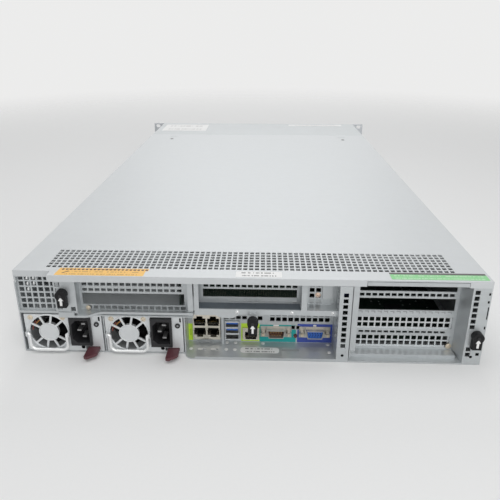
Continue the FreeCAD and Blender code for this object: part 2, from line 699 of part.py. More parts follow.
def riser_cards():
    """Plug-in riser boards behind the three cages."""
    boards = [box(-66.0, -64.4, depth(18.0), depth(170.0), BAY_TOP + SHEET, 82.0),
              box(84.0, 85.6, depth(30.0), depth(185.0), BOARD_TOP, 82.0),
              box(-48.0, 47.0, depth(IO_D + SHEET), depth(130.0), 49.0, 50.6)]
    sockets = [box(-73.0, -66.0, depth(60.0), depth(149.0), 52.0, 60.0),
               box(85.6, 93.0, depth(60.0), depth(149.0), 49.0, 57.0),
               box(85.6, 93.0, depth(60.0), depth(149.0), 69.0, 77.0),
               box(-40.0, -32.0, depth(40.0), depth(125.0), 50.6, 60.0)]
    return group([join([boards[0], sockets[0]]), join([boards[1], sockets[1], sockets[2]]),
                  join([boards[2], sockets[3]])])


def riser_lever(x, y_back, z0):
    """Black release lever: rounded thumb lobe over a straight body, bevelled at the front."""
    half = LEVER_W / 2
    lobe = disc(V(x, y_back - LEVER_T, z0 + LEVER_H - LEVER_LOBE), V(0, 1, 0),
                LEVER_LOBE, LEVER_T)
    body = box(x - half, x + half, y_back - LEVER_T + 0.8, y_back, z0,
               z0 + LEVER_H - LEVER_LOBE)
    return join([lobe, body])


# --- Input and output wall --------------------------------------------------------------
def io_wall():
    """Port wall with cut-outs for each connector and a vent field above them."""
    dsub = [rect(x - 9.6, x + 9.6, DSUB_Z - 5.6, DSUB_Z + 5.6) for x in (SERIAL_X, VGA_X)]
    cells = [rect(LAN_X - LAN_W / 2 - 0.2, LAN_X + LAN_W / 2 + 0.2,
                  LAN_Z - LAN_H / 2 - 0.2, LAN_Z + LAN_H / 2 + 0.2),
             rect(USB_X - USB_W / 2 - 0.2, USB_X + USB_W / 2 + 0.2,
                  USB_Z - USB_H / 2 - 0.2, USB_Z + USB_H / 2 + 0.2),
             rect(MGMT_X - MGMT_W / 2 - 0.2, MGMT_X + MGMT_W / 2 + 0.2,
                  MGMT_Z - MGMT_H / 2 - 0.2, MGMT_Z + MGMT_H / 2 + 0.2)] + dsub
    cells += mesh(50.6, 30.8, 10, 2)
    cells += mesh(-13.0, 34.4, 4, 1) + mesh(-13.0, 29.0, 4, 1, 3.6) + mesh(11.4, 31.6, 1, 2)
    cells += grid(46.8, 18.6, 2, 1, 5.6, 1.0, 4.0, 4.2)
    sheet = wall(rect(IO_X0, POST_C_X0, SHEET, IO_TOP), depth(IO_D), SHEET, cells)
    button_bore = disc(V(ID_X, depth(IO_D) - 1, ID_Z), V(0, 1, 0), ID_R + 0.2, SHEET + 2)
    sheet = sheet.cut(button_bore)
    fin = box(-26.8, -24.2, depth(IO_D - 4.0), depth(IO_D), SHEET, 38.0)
    return join([sheet, fin])


def jack_cavity(x, z, y, up, length):
    """Modular-jack opening: wide bay with a stepped keyway above or below it."""
    half = JACK_W / 2
    s = 1 if up else -1
    bay = JACK_H / 2 - 0.6
    points = [(x - half, z - s * bay), (x + half, z - s * bay), (x + half, z + s * (bay - 1.2)),
              (x + 3.0, z + s * (bay - 1.2)), (x + 3.0, z + s * (bay + 1.2)),
              (x - 3.0, z + s * (bay + 1.2)), (x - 3.0, z + s * (bay - 1.2)),
              (x - half, z + s * (bay - 1.2))]
    return wall(points, y, length)


def lan_ports():
    """Shielded block of four network jacks, two over two."""
    y0 = depth(IO_D - PORT_OUT)
    block = box(LAN_X - LAN_W / 2, LAN_X + LAN_W / 2, y0, y0 + 24.0,
                LAN_Z - LAN_H / 2, LAN_Z + LAN_H / 2)
    cavities = []
    for i in (-1, 1):
        for j in (-1, 1):
            cavities.append(jack_cavity(LAN_X + i * JACK_PITCH_X / 2,
                                        LAN_Z + j * JACK_PITCH_Z / 2, y0 - 1, j > 0, 15.0))
    return block.cut(group(cavities))


def management_port():
    """Single network jack for remote management."""
    y0 = depth(IO_D - 2.0)
    block = box(MGMT_X - MGMT_W / 2, MGMT_X + MGMT_W / 2, y0, y0 + 20.0,
                MGMT_Z - MGMT_H / 2, MGMT_Z + MGMT_H / 2)
    return block.cut(jack_cavity(MGMT_X, MGMT_Z, y0 - 1, True, 15.0))


def usb_ports():
    """Stack of three host sockets, each with its contact tongue."""
    y0 = depth(IO_D - 2.6)
    block = box(USB_X - USB_W / 2, USB_X + USB_W / 2, y0, y0 + 18.0,
                USB_Z - USB_H / 2, USB_Z + USB_H / 2)
    tongues = []
    bays = []
    for step in (-1, 0, 1):
        z = USB_Z + step * USB_STEP
        bays.append(box(USB_X - 6.3, USB_X + 6.3, y0 - 1, y0 + 12.0, z - 2.5, z + 2.5))
        tongues.append(box(USB_X - 5.6, USB_X + 5.6, y0 + 1.2, y0 + 12.5, z + 0.1, z + 1.9))
    return join([block.cut(group(bays))] + tongues)


def d_ring(x, z, y, width, height, slant, thick):
    """D-shaped prism: the upper edge is longer than the lower one."""
    half = width / 2
    top = height / 2
    return wall([(x - half + slant, z - top), (x + half - slant, z - top), (x + half, z + top),
                 (x - half, z + top)], y, thick)


def d_connector(x, insert_back):
    """D-subminiature connector: flange, shell, insert and two hexagonal jack screws."""
    y = depth(IO_D)
    flange = box(x - 15.4, x + 15.4, y - 0.8, y, DSUB_Z - 6.2, DSUB_Z + 6.2)
    shell = d_ring(x, DSUB_Z, y - 6.0, 17.6, 9.0, 1.6, 5.4)
    bore = d_ring(x, DSUB_Z, y - 7.0, 16.2, 7.6, 1.5, 7.0)
    insert = d_ring(x, DSUB_Z, y - 6.0 + insert_back, 15.4, 6.9, 1.4, 6.0 - insert_back)
    base = box(x - 9.4, x + 9.4, y, y + 9.0, DSUB_Z - 5.4, DSUB_Z + 5.4)
    pieces = [flange, shell.cut(bore), insert, base]
    for side in (-1, 1):
        ring = []
        for k in range(6):
            a = math.radians(60 * k)
            ring.append((x + side * JACKSCREW + 2.7 * math.cos(a), DSUB_Z + 2.7 * math.sin(a)))
        pieces.append(wall(ring, y - 5.4, 4.8))
    return join(pieces)


def id_button():
    """Round locator button on the port wall, with a collar behind the sheet."""
    cap = disc(V(ID_X, depth(IO_D) - 1.6, ID_Z), V(0, 1, 0), ID_R, SHEET + 2.0)
    collar = disc(V(ID_X, depth(IO_D) + SHEET + 0.3, ID_Z), V(0, 1, 0), ID_R + 1.0, 1.2)
    return join([cap, collar])


# --- Boards and cooling -----------------------------------------------------------------
def motherboard():
    """Main board on standoffs with two rows of upright memory modules."""
    board = box(-58.0, 210.0, depth(30.0), depth(345.0), BOARD_TOP - BOARD_T, BOARD_TOP)
    feet = [box(x - 3.0, x + 3.0, depth(d - 3.0), depth(d + 3.0), SHEET, BOARD_TOP - BOARD_T)
            for x in (-48.0, 78.0, 200.0) for d in (120.0, 240.0, 335.0)]
    modules = [box(x0 + i * 9.5, x0 + i * 9.5 + 1.4, depth(195.0), depth(328.0),
                   BOARD_TOP, BOARD_TOP + 31.0)
               for x0 in (-54.0, 181.0) for i in range(3)]
    return join([board] + feet + modules)


def heatsinks():
    """Two processor heatsinks with parallel fins along the air flow."""
    sinks = []
    for x in (18.0, 130.0):
        base = box(x - 45.0, x + 45.0, depth(215.0), depth(305.0), BOARD_TOP, 11.0)
        fins = [box(x - 43.5 + i * 12.43, x - 42.1 + i * 12.43, depth(215.0), depth(305.0),
                    11.0, 64.0) for i in range(8)]
        sinks.append(join([base] + fins))
    return group(sinks)


def fan_wall():
    """Cross wall holding four square fan frames with round bores."""
    y0 = depth(FAN_WALL_D)
    wall_sheet = wall(full_span(SHEET, FAN_MID_Z + 40.2), y0, SHEET)
    frames = []
    bores = []
    for index in range(4):
        x = (index - 1.5) * FAN_PITCH
        frames.append(box(x - FAN_SIDE / 2, x + FAN_SIDE / 2, y0, y0 + FAN_T,
                          FAN_MID_Z - FAN_SIDE / 2, FAN_MID_Z + FAN_SIDE / 2))
        bores.append(disc(V(x, y0 - 1, FAN_MID_Z), V(0, 1, 0), SYS_BORE, FAN_T + 2))
    body = join([wall_sheet] + frames).cut(group(bores))
    spiders = []
    for index in range(4):
        x = (index - 1.5) * FAN_PITCH
        spiders.append(disc(V(x, y0 + FAN_T - 3.0, FAN_MID_Z), V(0, 1, 0), SYS_HUB_R, 3.0))
        spiders.append(box(x - SYS_BORE - 0.5, x + SYS_BORE + 0.5, y0 + FAN_T - 3.0,
                           y0 + FAN_T, FAN_MID_Z - 1.5, FAN_MID_Z + 1.5))
        spiders.append(box(x - 1.5, x + 1.5, y0 + FAN_T - 3.0, y0 + FAN_T,
                           FAN_MID_Z - SYS_BORE - 0.5, FAN_MID_Z + SYS_BORE + 0.5))
    return join([body] + spiders)


def system_rotor(index):
    """One of the four large fan rotors."""
    centre = ((index - 1.5) * FAN_PITCH, depth(FAN_WALL_D) + 2.0, FAN_MID_Z)
    return rotor(centre, SYS_R, SYS_HUB_R, SYS_BLADE_L, SYS_BLADES, FAN_T - 5.4)


# --- Drive bays -------------------------------------------------------------------------
def drive_cage():
    """Front roof, shelves and dividers of the drive bays with the intake strip above."""
    y0 = FRONT - CAGE_L
    roof_y = depth(COVER_D + SEAM)
    roof = box(-HALF_W, HALF_W, roof_y, FRONT, TOP_Z, BODY_H)
    hems = [box(s * HALF_W - (SHEET if s > 0 else 0), s * HALF_W + (0 if s > 0 else SHEET),
                roof_y, FRONT, BODY_H - LAP, TOP_Z) for s in (-1, 1)]
    shelf = box(-INNER, INNER, y0, FRONT, SHELF_Z, SHELF_Z + SHEET)
    mid = box(-INNER, INNER, y0, FRONT - 1.0, ROW_Z0 + ROW_PITCH / 2 - 0.5,
              ROW_Z0 + ROW_PITCH / 2 + 0.5)
    dividers = [box(i * COL_PITCH - 0.6, i * COL_PITCH + 0.6, y0, FRONT - 1.0, SHEET, SHELF_Z)
                for i in (-1, 0, 1)]
    strip = wall(full_span(SHELF_Z + SHEET, TOP_Z), FRONT - SHEET, SHEET,
                 grid(0.0, 74.0, 8, 2, 51.8, 10.0, 48.0, 7.4))
    return join([roof] + hems + [shelf, mid] + dividers + [strip])


def drive_backplane():
    """Board behind the drive bays with one connector per bay and air slots."""
    y0 = FRONT - CAGE_L - 6.0
    cells = []
    for row in range(BAY_ROWS):
        z = ROW_Z0 + row * ROW_PITCH
        cells += grid(0.0, z + 8.0, BAY_COLS, 1, COL_PITCH, 1.0, 80.0, 6.0)
    board = wall(rect(-INNER, INNER, SHEET, SHELF_Z + 14.0), y0, 2.4, cells)
    pieces = [board]
    for row in range(BAY_ROWS):
        for column in range(BAY_COLS):
            x = (column - 1.5) * COL_PITCH
            z = ROW_Z0 + row * ROW_PITCH
            pieces.append(box(x - 22.0, x + 22.0, y0 + 2.4, y0 + 8.0, z - 9.0, z - 3.0))
    return join(pieces)


def carrier(x, z):
    """Drive tray: bezel with a lever pocket, two rails and the drive between them."""
    y1 = FRONT + CARRIER_OUT
    y0 = y1 - BEZEL_D
    half = CARRIER_W / 2
    tall = CARRIER_H / 2
    bezel = box(x - half, x + half, y0, y1, z - tall, z + tall)
    pocket = box(x - half + 2.4, x - half + 3.4 + LEVER_LEN, y1 - CLIP_T - 2.0, y1 + 1,
                 z - CLIP_H / 2 - CLIP_GAP, z + CLIP_H / 2 + CLIP_GAP)
    key = wall(rect(x + half - 15.0, x + half - 3.0, z - 9.0, z + 9.0), y1 - 1.0, 2.0)
    bezel = bezel.cut(group([pocket, key]))
    rails = [box(x - half, x - half + 1.4, y1 - CARRIER_L, y0, z - tall, z + 2.0),
             box(x + half - 1.4, x + half, y1 - CARRIER_L, y0, z - tall, z + 2.0)]
    drive = box(x - half + 1.4, x + half - 1.4, y0 - 148.0, y0 - 2.0, z - tall + 1.0,
                z + tall - 1.0)
    floor = box(x - half + 1.4, x + half - 1.4, y1 - CARRIER_L, y0, z - tall, z - tall + 1.0)
    return join([bezel] + rails + [floor, drive])


def carrier_lever(x, z):
    """Swing lever in the bezel pocket: rounded hinge barrel, slotted grip, finger hook."""
    y1 = FRONT + CARRIER_OUT
    half = CARRIER_W / 2
    hinge_x = x - half + 2.9 + CLIP_T / 2
    y_mid = y1 - CLIP_T / 2
    x_end = x - half + 2.9 + LEVER_LEN
    z0 = z - CLIP_H / 2
    barrel = rod(V(hinge_x, y_mid, z0), V(0, 0, 1), CLIP_T / 2, CLIP_H)
    bar = box(hinge_x, x_end, y1 - CLIP_T, y1, z0, z0 + CLIP_H)
    slots = grid(hinge_x + 37.0, z, 1, 2, 1.0, 8.0, 59.8, 5.0)
    cuts = [wall(cell, y1 - CLIP_T - 1, CLIP_T + 2) for cell in slots]
    cuts.append(box(x_end - 3.0, x_end + 1, y1 - CLIP_T - 1, y1 - CLIP_T + 2.0, z0 - 1,
                    z0 + CLIP_H + 1))
    return join([barrel, bar]).cut(group(cuts))


# --- Rack ears --------------------------------------------------------------------------
def ear_slot(z):
    """Oval bolt slot through the right ear."""
    half = (EAR_SLOT_L - EAR_SLOT_W) / 2
    r = EAR_SLOT_W / 2
    y = FRONT - EAR_T - 1
    x0 = EAR_SLOT_X - half
    x1 = EAR_SLOT_X + half
    edges = [
        Part.makeLine(V(x0, y, z - r), V(x1, y, z - r)),
        Part.Arc(V(x1, y, z - r), V(x1 + r, y, z), V(x1, y, z + r)).toShape(),
        Part.makeLine(V(x1, y, z + r), V(x0, y, z + r)),
        Part.Arc(V(x0, y, z + r), V(x0 - r, y, z), V(x0, y, z - r)).toShape()]
    return Part.Face(Part.Wire(edges)).extrude(V(0, EAR_T + 2, 0))


def bow(x0, width, z0, z1, y1, radius):
    """Block in front of the ear with its two front corners rounded in flats."""
    turns = [math.radians(15 * k) for k in range(7)]
    ring = [(FRONT, z0)]
    ring += [(y1 - radius + radius * math.sin(t), z0 + radius - radius * math.cos(t))
             for t in turns]
    ring += [(y1 - radius + radius * math.cos(t), z1 - radius + radius * math.sin(t))
             for t in turns]
    ring.append((FRONT, z1))
    points = [V(x0, y, z) for y, z in ring]
    return Part.Face(Part.makePolygon(points + [points[0]])).extrude(V(width, 0, 0))


def rack_ear():
    """Right ear: bolt flange, side arm and pull handle."""
    mid_z = BODY_H / 2
    flange = box(HALF_W, HALF_W + EAR_W, FRONT - EAR_T, FRONT, 0.0, BODY_H)
    slots = [ear_slot(mid_z + s * EAR_SLOT_Z) for s in (-1, 1)]
    flange = flange.cut(group(slots))
    arm = box(HALF_W, HALF_W + 1.6, FRONT - EAR_ARM, FRONT - EAR_T, 6.0, BODY_H - 14.0)
    x0 = HANDLE_X - HANDLE_W / 2
    z0 = mid_z - HANDLE_HALF
    z1 = mid_z + HANDLE_HALF
    y1 = FRONT + HANDLE_OUT
    outer = Part.makeBox(HANDLE_W, HANDLE_OUT, 2 * HANDLE_HALF, V(x0, FRONT, z0))
    outer = bow(x0, HANDLE_W, z0, z1, y1, HANDLE_R)
    inner = bow(x0 - 1, HANDLE_W + 2, z0 + HANDLE_T, z1 - HANDLE_T, y1 - HANDLE_T,
                HANDLE_R - HANDLE_T)
    return join([flange, arm, outer.cut(inner)])


def control_ear():
    """Left ear: the mirrored bracket with a slim control panel beside the handle."""
    ear = mirror_x(rack_ear())
    x0 = -PANEL_X0 - PANEL_W
    panel = box(x0, -PANEL_X0, FRONT, FRONT + PANEL_OUT, 16.0, 72.0)
    mid_x = x0 + PANEL_W / 2
    bores = [disc(V(mid_x, FRONT + PANEL_OUT - BUTTON_STEM - 1.0, z), V(0, 1, 0), r + 0.2,
                  10.0)
             for z, r in ((POWER_Z, POWER_R), (SET_Z, SET_R))]
    return join([ear, panel]).cut(group(bores))


def front_button(z, radius):
    """Push button of the control panel."""
    mid_x = -PANEL_X0 - PANEL_W / 2
    return disc(V(mid_x, FRONT + PANEL_OUT - BUTTON_STEM + 0.6, z), V(0, 1, 0), radius,
                BUTTON_STEM)


# --- Output -----------------------------------------------------------------------------
def sub_parts():
    """Every node name with its finished shape."""
    parts = {
        "chassis_tray": chassis_tray(),
        "rear_frame": rear_frame(),
        "psu_bay": psu_bay(),
        "io_wall": io_wall(),
        "riser_cage_left": riser_cage_left(),
        "riser_cage_middle": riser_cage_middle(),
        "riser_cage_right": riser_cage_right(),
        "slot_covers": slot_covers(),
        "riser_cards": riser_cards(),
        "riser_lever_left": riser_lever(-172.0, depth(A_POST_D), 54.6),
        "riser_lever_middle": riser_lever(4.7, depth(3.0), 29.0),
        "riser_lever_right": riser_lever(211.0, depth(0.0), 19.6),
        "lan_ports": lan_ports(),
        "management_port": management_port(),
        "usb_ports": usb_ports(),
        "serial_port": d_connector(SERIAL_X, 4.2),
        "vga_port": d_connector(VGA_X, 0.8),
        "id_button": id_button(),
        "motherboard": motherboard(),
        "heatsinks": heatsinks(),
        "fan_wall": fan_wall(),
        "drive_cage": drive_cage(),
        "drive_backplane": drive_backplane(),
        "rack_ear_right": rack_ear(),
        "rack_ear_left": control_ear(),
        "power_button": front_button(POWER_Z, POWER_R),
        "locator_button": front_button(SET_Z, SET_R),
        "top_cover": top_cover(),
        "cover_button_left": cover_button(-1),
        "cover_button_right": cover_button(1)}
    for number, x in enumerate(PSU_X, start=1):
        parts[f"psu_{number}_case"] = psu_case(x)
        parts[f"psu_{number}_inlet"] = psu_inlet(x)
        parts[f"psu_{number}_rotor"] = psu_rotor(x)
        parts[f"psu_{number}_bail"] = psu_bail(x)
        parts[f"psu_{number}_tab"] = psu_tab(x)
    for index in range(4):
        parts[f"fan_rotor_{index + 1}"] = system_rotor(index)
    for row in range(BAY_ROWS):
        for column in range(BAY_COLS):
            number = row * BAY_COLS + column + 1
            x = (column - 1.5) * COL_PITCH
            z = ROW_Z0 + row * ROW_PITCH
            parts[f"carrier_{number}"] = carrier(x, z)
            parts[f"carrier_lever_{number}"] = carrier_lever(x, z)
    return parts


os.makedirs("parts", exist_ok=True)
for name, shape in sub_parts().items():
    if not shape.isValid():
        raise ValueError(name)
    shape.exportStep(f"parts/{name}.step")
    print(name, len(shape.Solids), round(shape.Volume))
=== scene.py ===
"""Looks for a two-unit rack server: studio, finishes and fine pieces around the CAD parts.

The object is seen from the rear and above. Lengths are millimetres unless said otherwise, in
the frame of the part: x to the right, d forward from the rear edge of the tray, z up.
"""

import json
import logging
import math
from dataclasses import dataclass
from enum import Enum

import bpy
import numpy as np
from mathutils import Matrix, Vector


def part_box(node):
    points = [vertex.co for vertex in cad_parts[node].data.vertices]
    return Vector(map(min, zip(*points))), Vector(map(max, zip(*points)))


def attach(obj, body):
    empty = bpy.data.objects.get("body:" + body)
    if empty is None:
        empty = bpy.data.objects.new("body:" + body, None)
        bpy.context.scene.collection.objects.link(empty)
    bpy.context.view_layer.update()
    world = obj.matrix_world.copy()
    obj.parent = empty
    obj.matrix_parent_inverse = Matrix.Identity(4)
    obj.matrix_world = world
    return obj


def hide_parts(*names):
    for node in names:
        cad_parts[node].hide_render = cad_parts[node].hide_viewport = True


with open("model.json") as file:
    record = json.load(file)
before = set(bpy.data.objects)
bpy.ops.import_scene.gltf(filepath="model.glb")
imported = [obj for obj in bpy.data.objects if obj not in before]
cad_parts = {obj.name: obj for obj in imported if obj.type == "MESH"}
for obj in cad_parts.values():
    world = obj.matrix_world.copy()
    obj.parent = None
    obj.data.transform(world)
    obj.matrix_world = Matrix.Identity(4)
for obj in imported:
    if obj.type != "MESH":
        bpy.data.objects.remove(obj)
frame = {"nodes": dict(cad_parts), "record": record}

LOG = logging.getLogger("rack_server")
MM = 0.001  # metres in a millimetre
SKIN_GAP = 0.02  # air under a film, in millimetres
MARK = 0.03  # thickness of a printed mark, in millimetres
Colour = tuple[float, float, float]
Spot = tuple[float, float, float]
Scale = Spot | float
Length = float | np.ndarray


# --- Frame of the part --------------------------------------------------------------------
TRAY_LOW, TRAY_HIGH = (Vector(corner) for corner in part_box("chassis_tray"))
REAR_Y = TRAY_LOW.y
FRONT_D = (TRAY_HIGH.y - REAR_Y) / MM
ROOF_Z = Vector(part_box("top_cover")[1]).z / MM
HALF_W = TRAY_HIGH.x / MM
SHEET = 1.2  # thickness of the steel sheet
IO_D = 27.0  # rear face of the port wall
SLOT_PITCH = 20.32  # distance between card slots


def at(x: Length, d: Length, z: Length) -> np.ndarray:
    """Point or row of points of the part in metres.

    Args:
        x: millimetres to the right of the middle.
        d: millimetres forward of the rear edge.
        z: millimetres above the resting plane.

    Returns:
        Three lengths, with one row per point where a length is an array.
    """
    return np.stack(np.broadcast_arrays(x * MM, REAR_Y + d * MM, z * MM), -1)


def span(node: str) -> np.ndarray:
    """Lowest and highest corner of a CAD piece.

    Args:
        node: name of the piece.

    Returns:
        Two rows of x, d and z in millimetres.
    """
    return np.array([list(corner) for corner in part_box(node)]) / MM - (0.0, REAR_Y / MM, 0.0)


def rear_middle(node: str) -> np.ndarray:
    """Middle of the rear side of a CAD piece's box.

    Args:
        node: name of the piece.

    Returns:
        Its x, d and z in millimetres.
    """
    low, high = span(node)
    return np.array(((low[0] + high[0]) / 2, low[1], (low[2] + high[2]) / 2))


class Facing(Enum):
    """Way a flat piece looks, as its right, up and outward directions."""

    REAR = ((1, 0, 0), (0, 0, 1), (0, -1, 0))
    FRONT = ((-1, 0, 0), (0, 0, 1), (0, 1, 0))
    TOP = ((1, 0, 0), (0, 1, 0), (0, 0, 1))
    RIGHT = ((0, 1, 0), (0, 0, 1), (1, 0, 0))
    LEFT = ((0, -1, 0), (0, 0, 1), (-1, 0, 0))

    def axes(self) -> np.ndarray:
        """Rows of the right, up and outward unit vectors.

        Returns:
            A three by three array.
        """
        return np.array(self.value, float)


# --- Shader graphs --------------------------------------------------------------------------
class NodeGraph:
    """Short way to add and link the shader nodes of one material or world."""

    def __init__(self, name: str, store: object = bpy.data.materials) -> None:
        """Starts an empty node tree.

        Args:
            name: name of its owner.
            store: collection that the owner goes into.
        """
        self.owner = store.new(name)
        self.owner.use_nodes = True
        self.tree = self.owner.node_tree
        self.tree.nodes.clear()

    def add(self, kind: str, values: dict, **settings: object) -> bpy.types.Node:
        """Adds one node.

        Args:
            kind: type name of the node.
            values: socket name or index to a constant or to a socket that feeds it.
            settings: properties of the node.

        Returns:
            The new node.
        """
        node = self.tree.nodes.new(kind)
        for key, value in settings.items():
            setattr(node, key, value)
        for socket, value in values.items():
            if isinstance(value, bpy.types.NodeSocket):
                self.tree.links.new(value, node.inputs[socket])
            else:
                node.inputs[socket].default_value = value
        return node

    def place(self, scale: Scale) -> bpy.types.NodeSocket:
        """Object coordinates scaled per metre.

        Args:
            scale: repeats per metre, one for all axes or one each.

        Returns:
            The vector socket.
        """
        coords = self.add("ShaderNodeTexCoord", {}).outputs["Object"]
        each = scale if isinstance(scale, tuple) else (scale,) * 3
        return self.add("ShaderNodeMapping", {"Vector": coords, "Scale": each}).outputs[0]

    def noise(self, scale: Scale, detail: float = 3.0) -> bpy.types.NodeSocket:
        """Noise between nought and one.

        Args:
            scale: cells per metre, one for all axes or one each.
            detail: number of finer layers.

        Returns:
            The value socket.
        """
        values = {"Vector": self.place(scale), "Scale": 1.0, "Detail": detail}
        return self.add("ShaderNodeTexNoise", values).outputs[0]

    def cells(self, scale: Scale, output: str, randomness: float = 1.0,
              **settings: object) -> bpy.types.NodeSocket:
        """Cells around scattered points.

        Args:
            scale: cells per metre, one for all axes or one each.
            output: name of the output that is wanted.
            randomness: nought for a square lattice and one for full scatter.
            settings: properties of the node.

        Returns:
            The output's socket.
        """
        values = {"Vector": self.place(scale), "Scale": 1.0, "Randomness": randomness}
        return self.add("ShaderNodeTexVoronoi", values, **settings).outputs[output]

    def math(self, operation: str, *values: object) -> bpy.types.NodeSocket:
        """One arithmetic step.

        Args:
            operation: name of the step.
            values: constants or sockets.

        Returns:
            The result socket.
        """
        return self.add("ShaderNodeMath", dict(enumerate(values)), operation=operation).outputs[0]

    def weigh(self, base: float, *terms: tuple[bpy.types.NodeSocket, float]) -> object:
        """Base plus gain times (source minus one half), summed over the terms.

        Args:
            base: middle value.
            terms: pairs of source socket and gain.

        Returns:
            The value socket, or the base when there is no term.
        """
        value: object = base - sum(gain / 2 for _, gain in terms)
        for source, gain in terms:
            value = self.math("MULTIPLY_ADD", source, gain, value)
        return value

    def tint(self, colour: Colour, tone: object) -> bpy.types.NodeSocket:
        """A colour made lighter or darker by a factor.

        Args:
            colour: linear red, green and blue.
            tone: factor or socket.

        Returns:
            The colour socket.
        """
        values = {"Color": (*colour, 1.0), "Value": tone}
        return self.add("ShaderNodeHueSaturation", values).outputs[0]

    def blend(self, share: object, low: object, high: object) -> bpy.types.NodeSocket:
        """Mix of two colours.

        Args:
            share: nought for the first colour and one for the second.
            low: first colour or socket.
            high: second colour or socket.

        Returns:
            The colour socket.
        """
        node = self.add("ShaderNodeMix", {0: share}, data_type="RGBA")
        for index, value in ((6, low), (7, high)):
            if isinstance(value, bpy.types.NodeSocket):
                self.tree.links.new(value, node.inputs[index])
            else:
                node.inputs[index].default_value = (*value, 1.0)
        return node.outputs[2]

    def relief(self, height: object, depth: float, edge: float) -> bpy.types.NodeSocket:
        """Surface relief over edges that the light rounds off.

        Args:
            height: relief between nought and one.
            depth: depth of the relief in metres.
            edge: radius of the rounded look of sharp edges in metres.

        Returns:
            The normal socket.
        """
        soft = self.add("ShaderNodeBevel", {"Radius": edge}, samples=4).outputs[0]
        values = {"Height": height, "Distance": depth, "Strength": 1.0, "Normal": soft}
        return self.add("ShaderNodeBump", values).outputs[0]

    def close(self, **sockets: object) -> bpy.types.Material:
        """Ends the graph with one surface shader.

        Args:
            sockets: constants or sockets by shader socket name, with _ for a space.

        Returns:
            The finished material.
        """
        values = {key.replace("_", " "): value for key, value in sockets.items()}
        shader = self.add("ShaderNodeBsdfPrincipled", values)
        out = self.add("ShaderNodeOutputMaterial", {"Surface": shader.outputs[0]})
        out.is_active_output = True
        return self.owner


# --- Finishes -------------------------------------------------------------------------------
@dataclass(frozen=True)
class SheetFinish:
    """Coated sheet metal with rolling grain, cloudy tone, faint crystals and handling wear."""

    name: str
    colour: Colour
    roughness: float
    metallic: float = 0.9
    grain: Scale = (30.0, 1600.0, 1600.0)
    grain_depth: float = 4e-6
    cloud: float = 0.10
    crystal: float = 0.06
    edge: float = 2.5e-4
    cloud_cells: float = 14.0
    speck_cells: float = 2600.0
    crystal_cells: float = 170.0
    scuff_cells: Spot = (90.0, 700.0, 700.0)
    scuff_limit: float = 0.69

    def build(self) -> bpy.types.Material:
        """Makes the material.

        Returns:
            The material.
        """
        graph = NodeGraph(self.name)
        grain = graph.noise(self.grain)
        cloud = graph.noise(self.cloud_cells)
        speck = graph.noise(self.speck_cells, 1.0)
        crystal = graph.cells(self.crystal_cells, "Color")
        cell = graph.add("ShaderNodeSeparateColor", {0: crystal}).outputs[0]
        scuff = graph.math("GREATER_THAN", graph.noise(self.scuff_cells, 2.0), self.scuff_limit)
        tone = graph.weigh(1.0, (grain, 0.10), (cloud, self.cloud), (cell, self.crystal))
        rough = graph.weigh(self.roughness, (grain, 0.14), (cloud, 0.12), (cell, self.crystal),
                            (scuff, 0.045))
        height = graph.weigh(0.5, (grain, 0.8), (speck, 0.4))
        return graph.close(Base_Color=graph.tint(self.colour, tone), Metallic=self.metallic,
                           Roughness=rough, Normal=graph.relief(height, self.grain_depth,
                                                                self.edge))


@dataclass(frozen=True)
class PlasticFinish:
    """Moulded plastic with spark-eroded texture, faint flow marks and rubbed high spots."""

    name: str
    colour: Colour
    roughness: float = 0.5
    shine: float = 0.4
    texture: float = 3200.0
    depth: float = 1.2e-5
    edge: float = 2e-4
    flow_cells: float = 40.0
    rub_cells: Spot = (160.0, 500.0, 500.0)

    def build(self) -> bpy.types.Material:
        """Makes the material.

        Returns:
            The material.
        """
        graph = NodeGraph(self.name)
        fine = graph.noise(self.texture, 2.0)
        cloud = graph.noise(self.flow_cells)
        rub = graph.noise(self.rub_cells, 4.0)
        tone = graph.weigh(1.0, (fine, 0.16), (cloud, 0.18), (rub, 0.12))
        rough = graph.weigh(self.roughness, (fine, 0.10), (cloud, 0.12), (rub, 0.16))
        return graph.close(Base_Color=graph.tint(self.colour, tone), Roughness=rough,
                           Specular_IOR_Level=self.shine,
                           Normal=graph.relief(fine, self.depth, self.edge))


@dataclass(frozen=True)
class BoardFinish:
    """Solder-masked circuit board with raised tracks and bright pads."""

    name: str
    colour: Colour
    metal: Colour = (0.16, 0.15, 0.12)
    track_cells: float = 150.0
    tracks: float = 7.0
    track_limit: float = 0.55
    pad_cells: float = 420.0
    pad_size: float = 0.2

    def build(self) -> bpy.types.Material:
        """Makes the material.

        Returns:
            The material.
        """
        graph = NodeGraph(self.name)
        far = graph.cells(self.track_cells, "Distance", distance="MANHATTAN", feature="F2")
        lines = graph.math("FRACT", graph.math("MULTIPLY", far, self.tracks))
        track = graph.math("GREATER_THAN", lines, self.track_limit)
        pad = graph.math("LESS_THAN", graph.cells(self.pad_cells, "Distance", 0.3), self.pad_size)
        cloud = graph.noise(60.0)
        mask = graph.tint(self.colour, graph.weigh(1.0, (track, 0.5), (cloud, 0.3)))
        colour = graph.blend(pad, mask, self.metal)
        height = graph.weigh(0.5, (track, 0.8), (pad, 0.4))
        rough = graph.weigh(0.36, (cloud, 0.2), (pad, 0.1))
        return graph.close(Base_Color=colour, Roughness=rough, Metallic=0.0,
                           Normal=graph.relief(height, 3e-5, 2e-4))


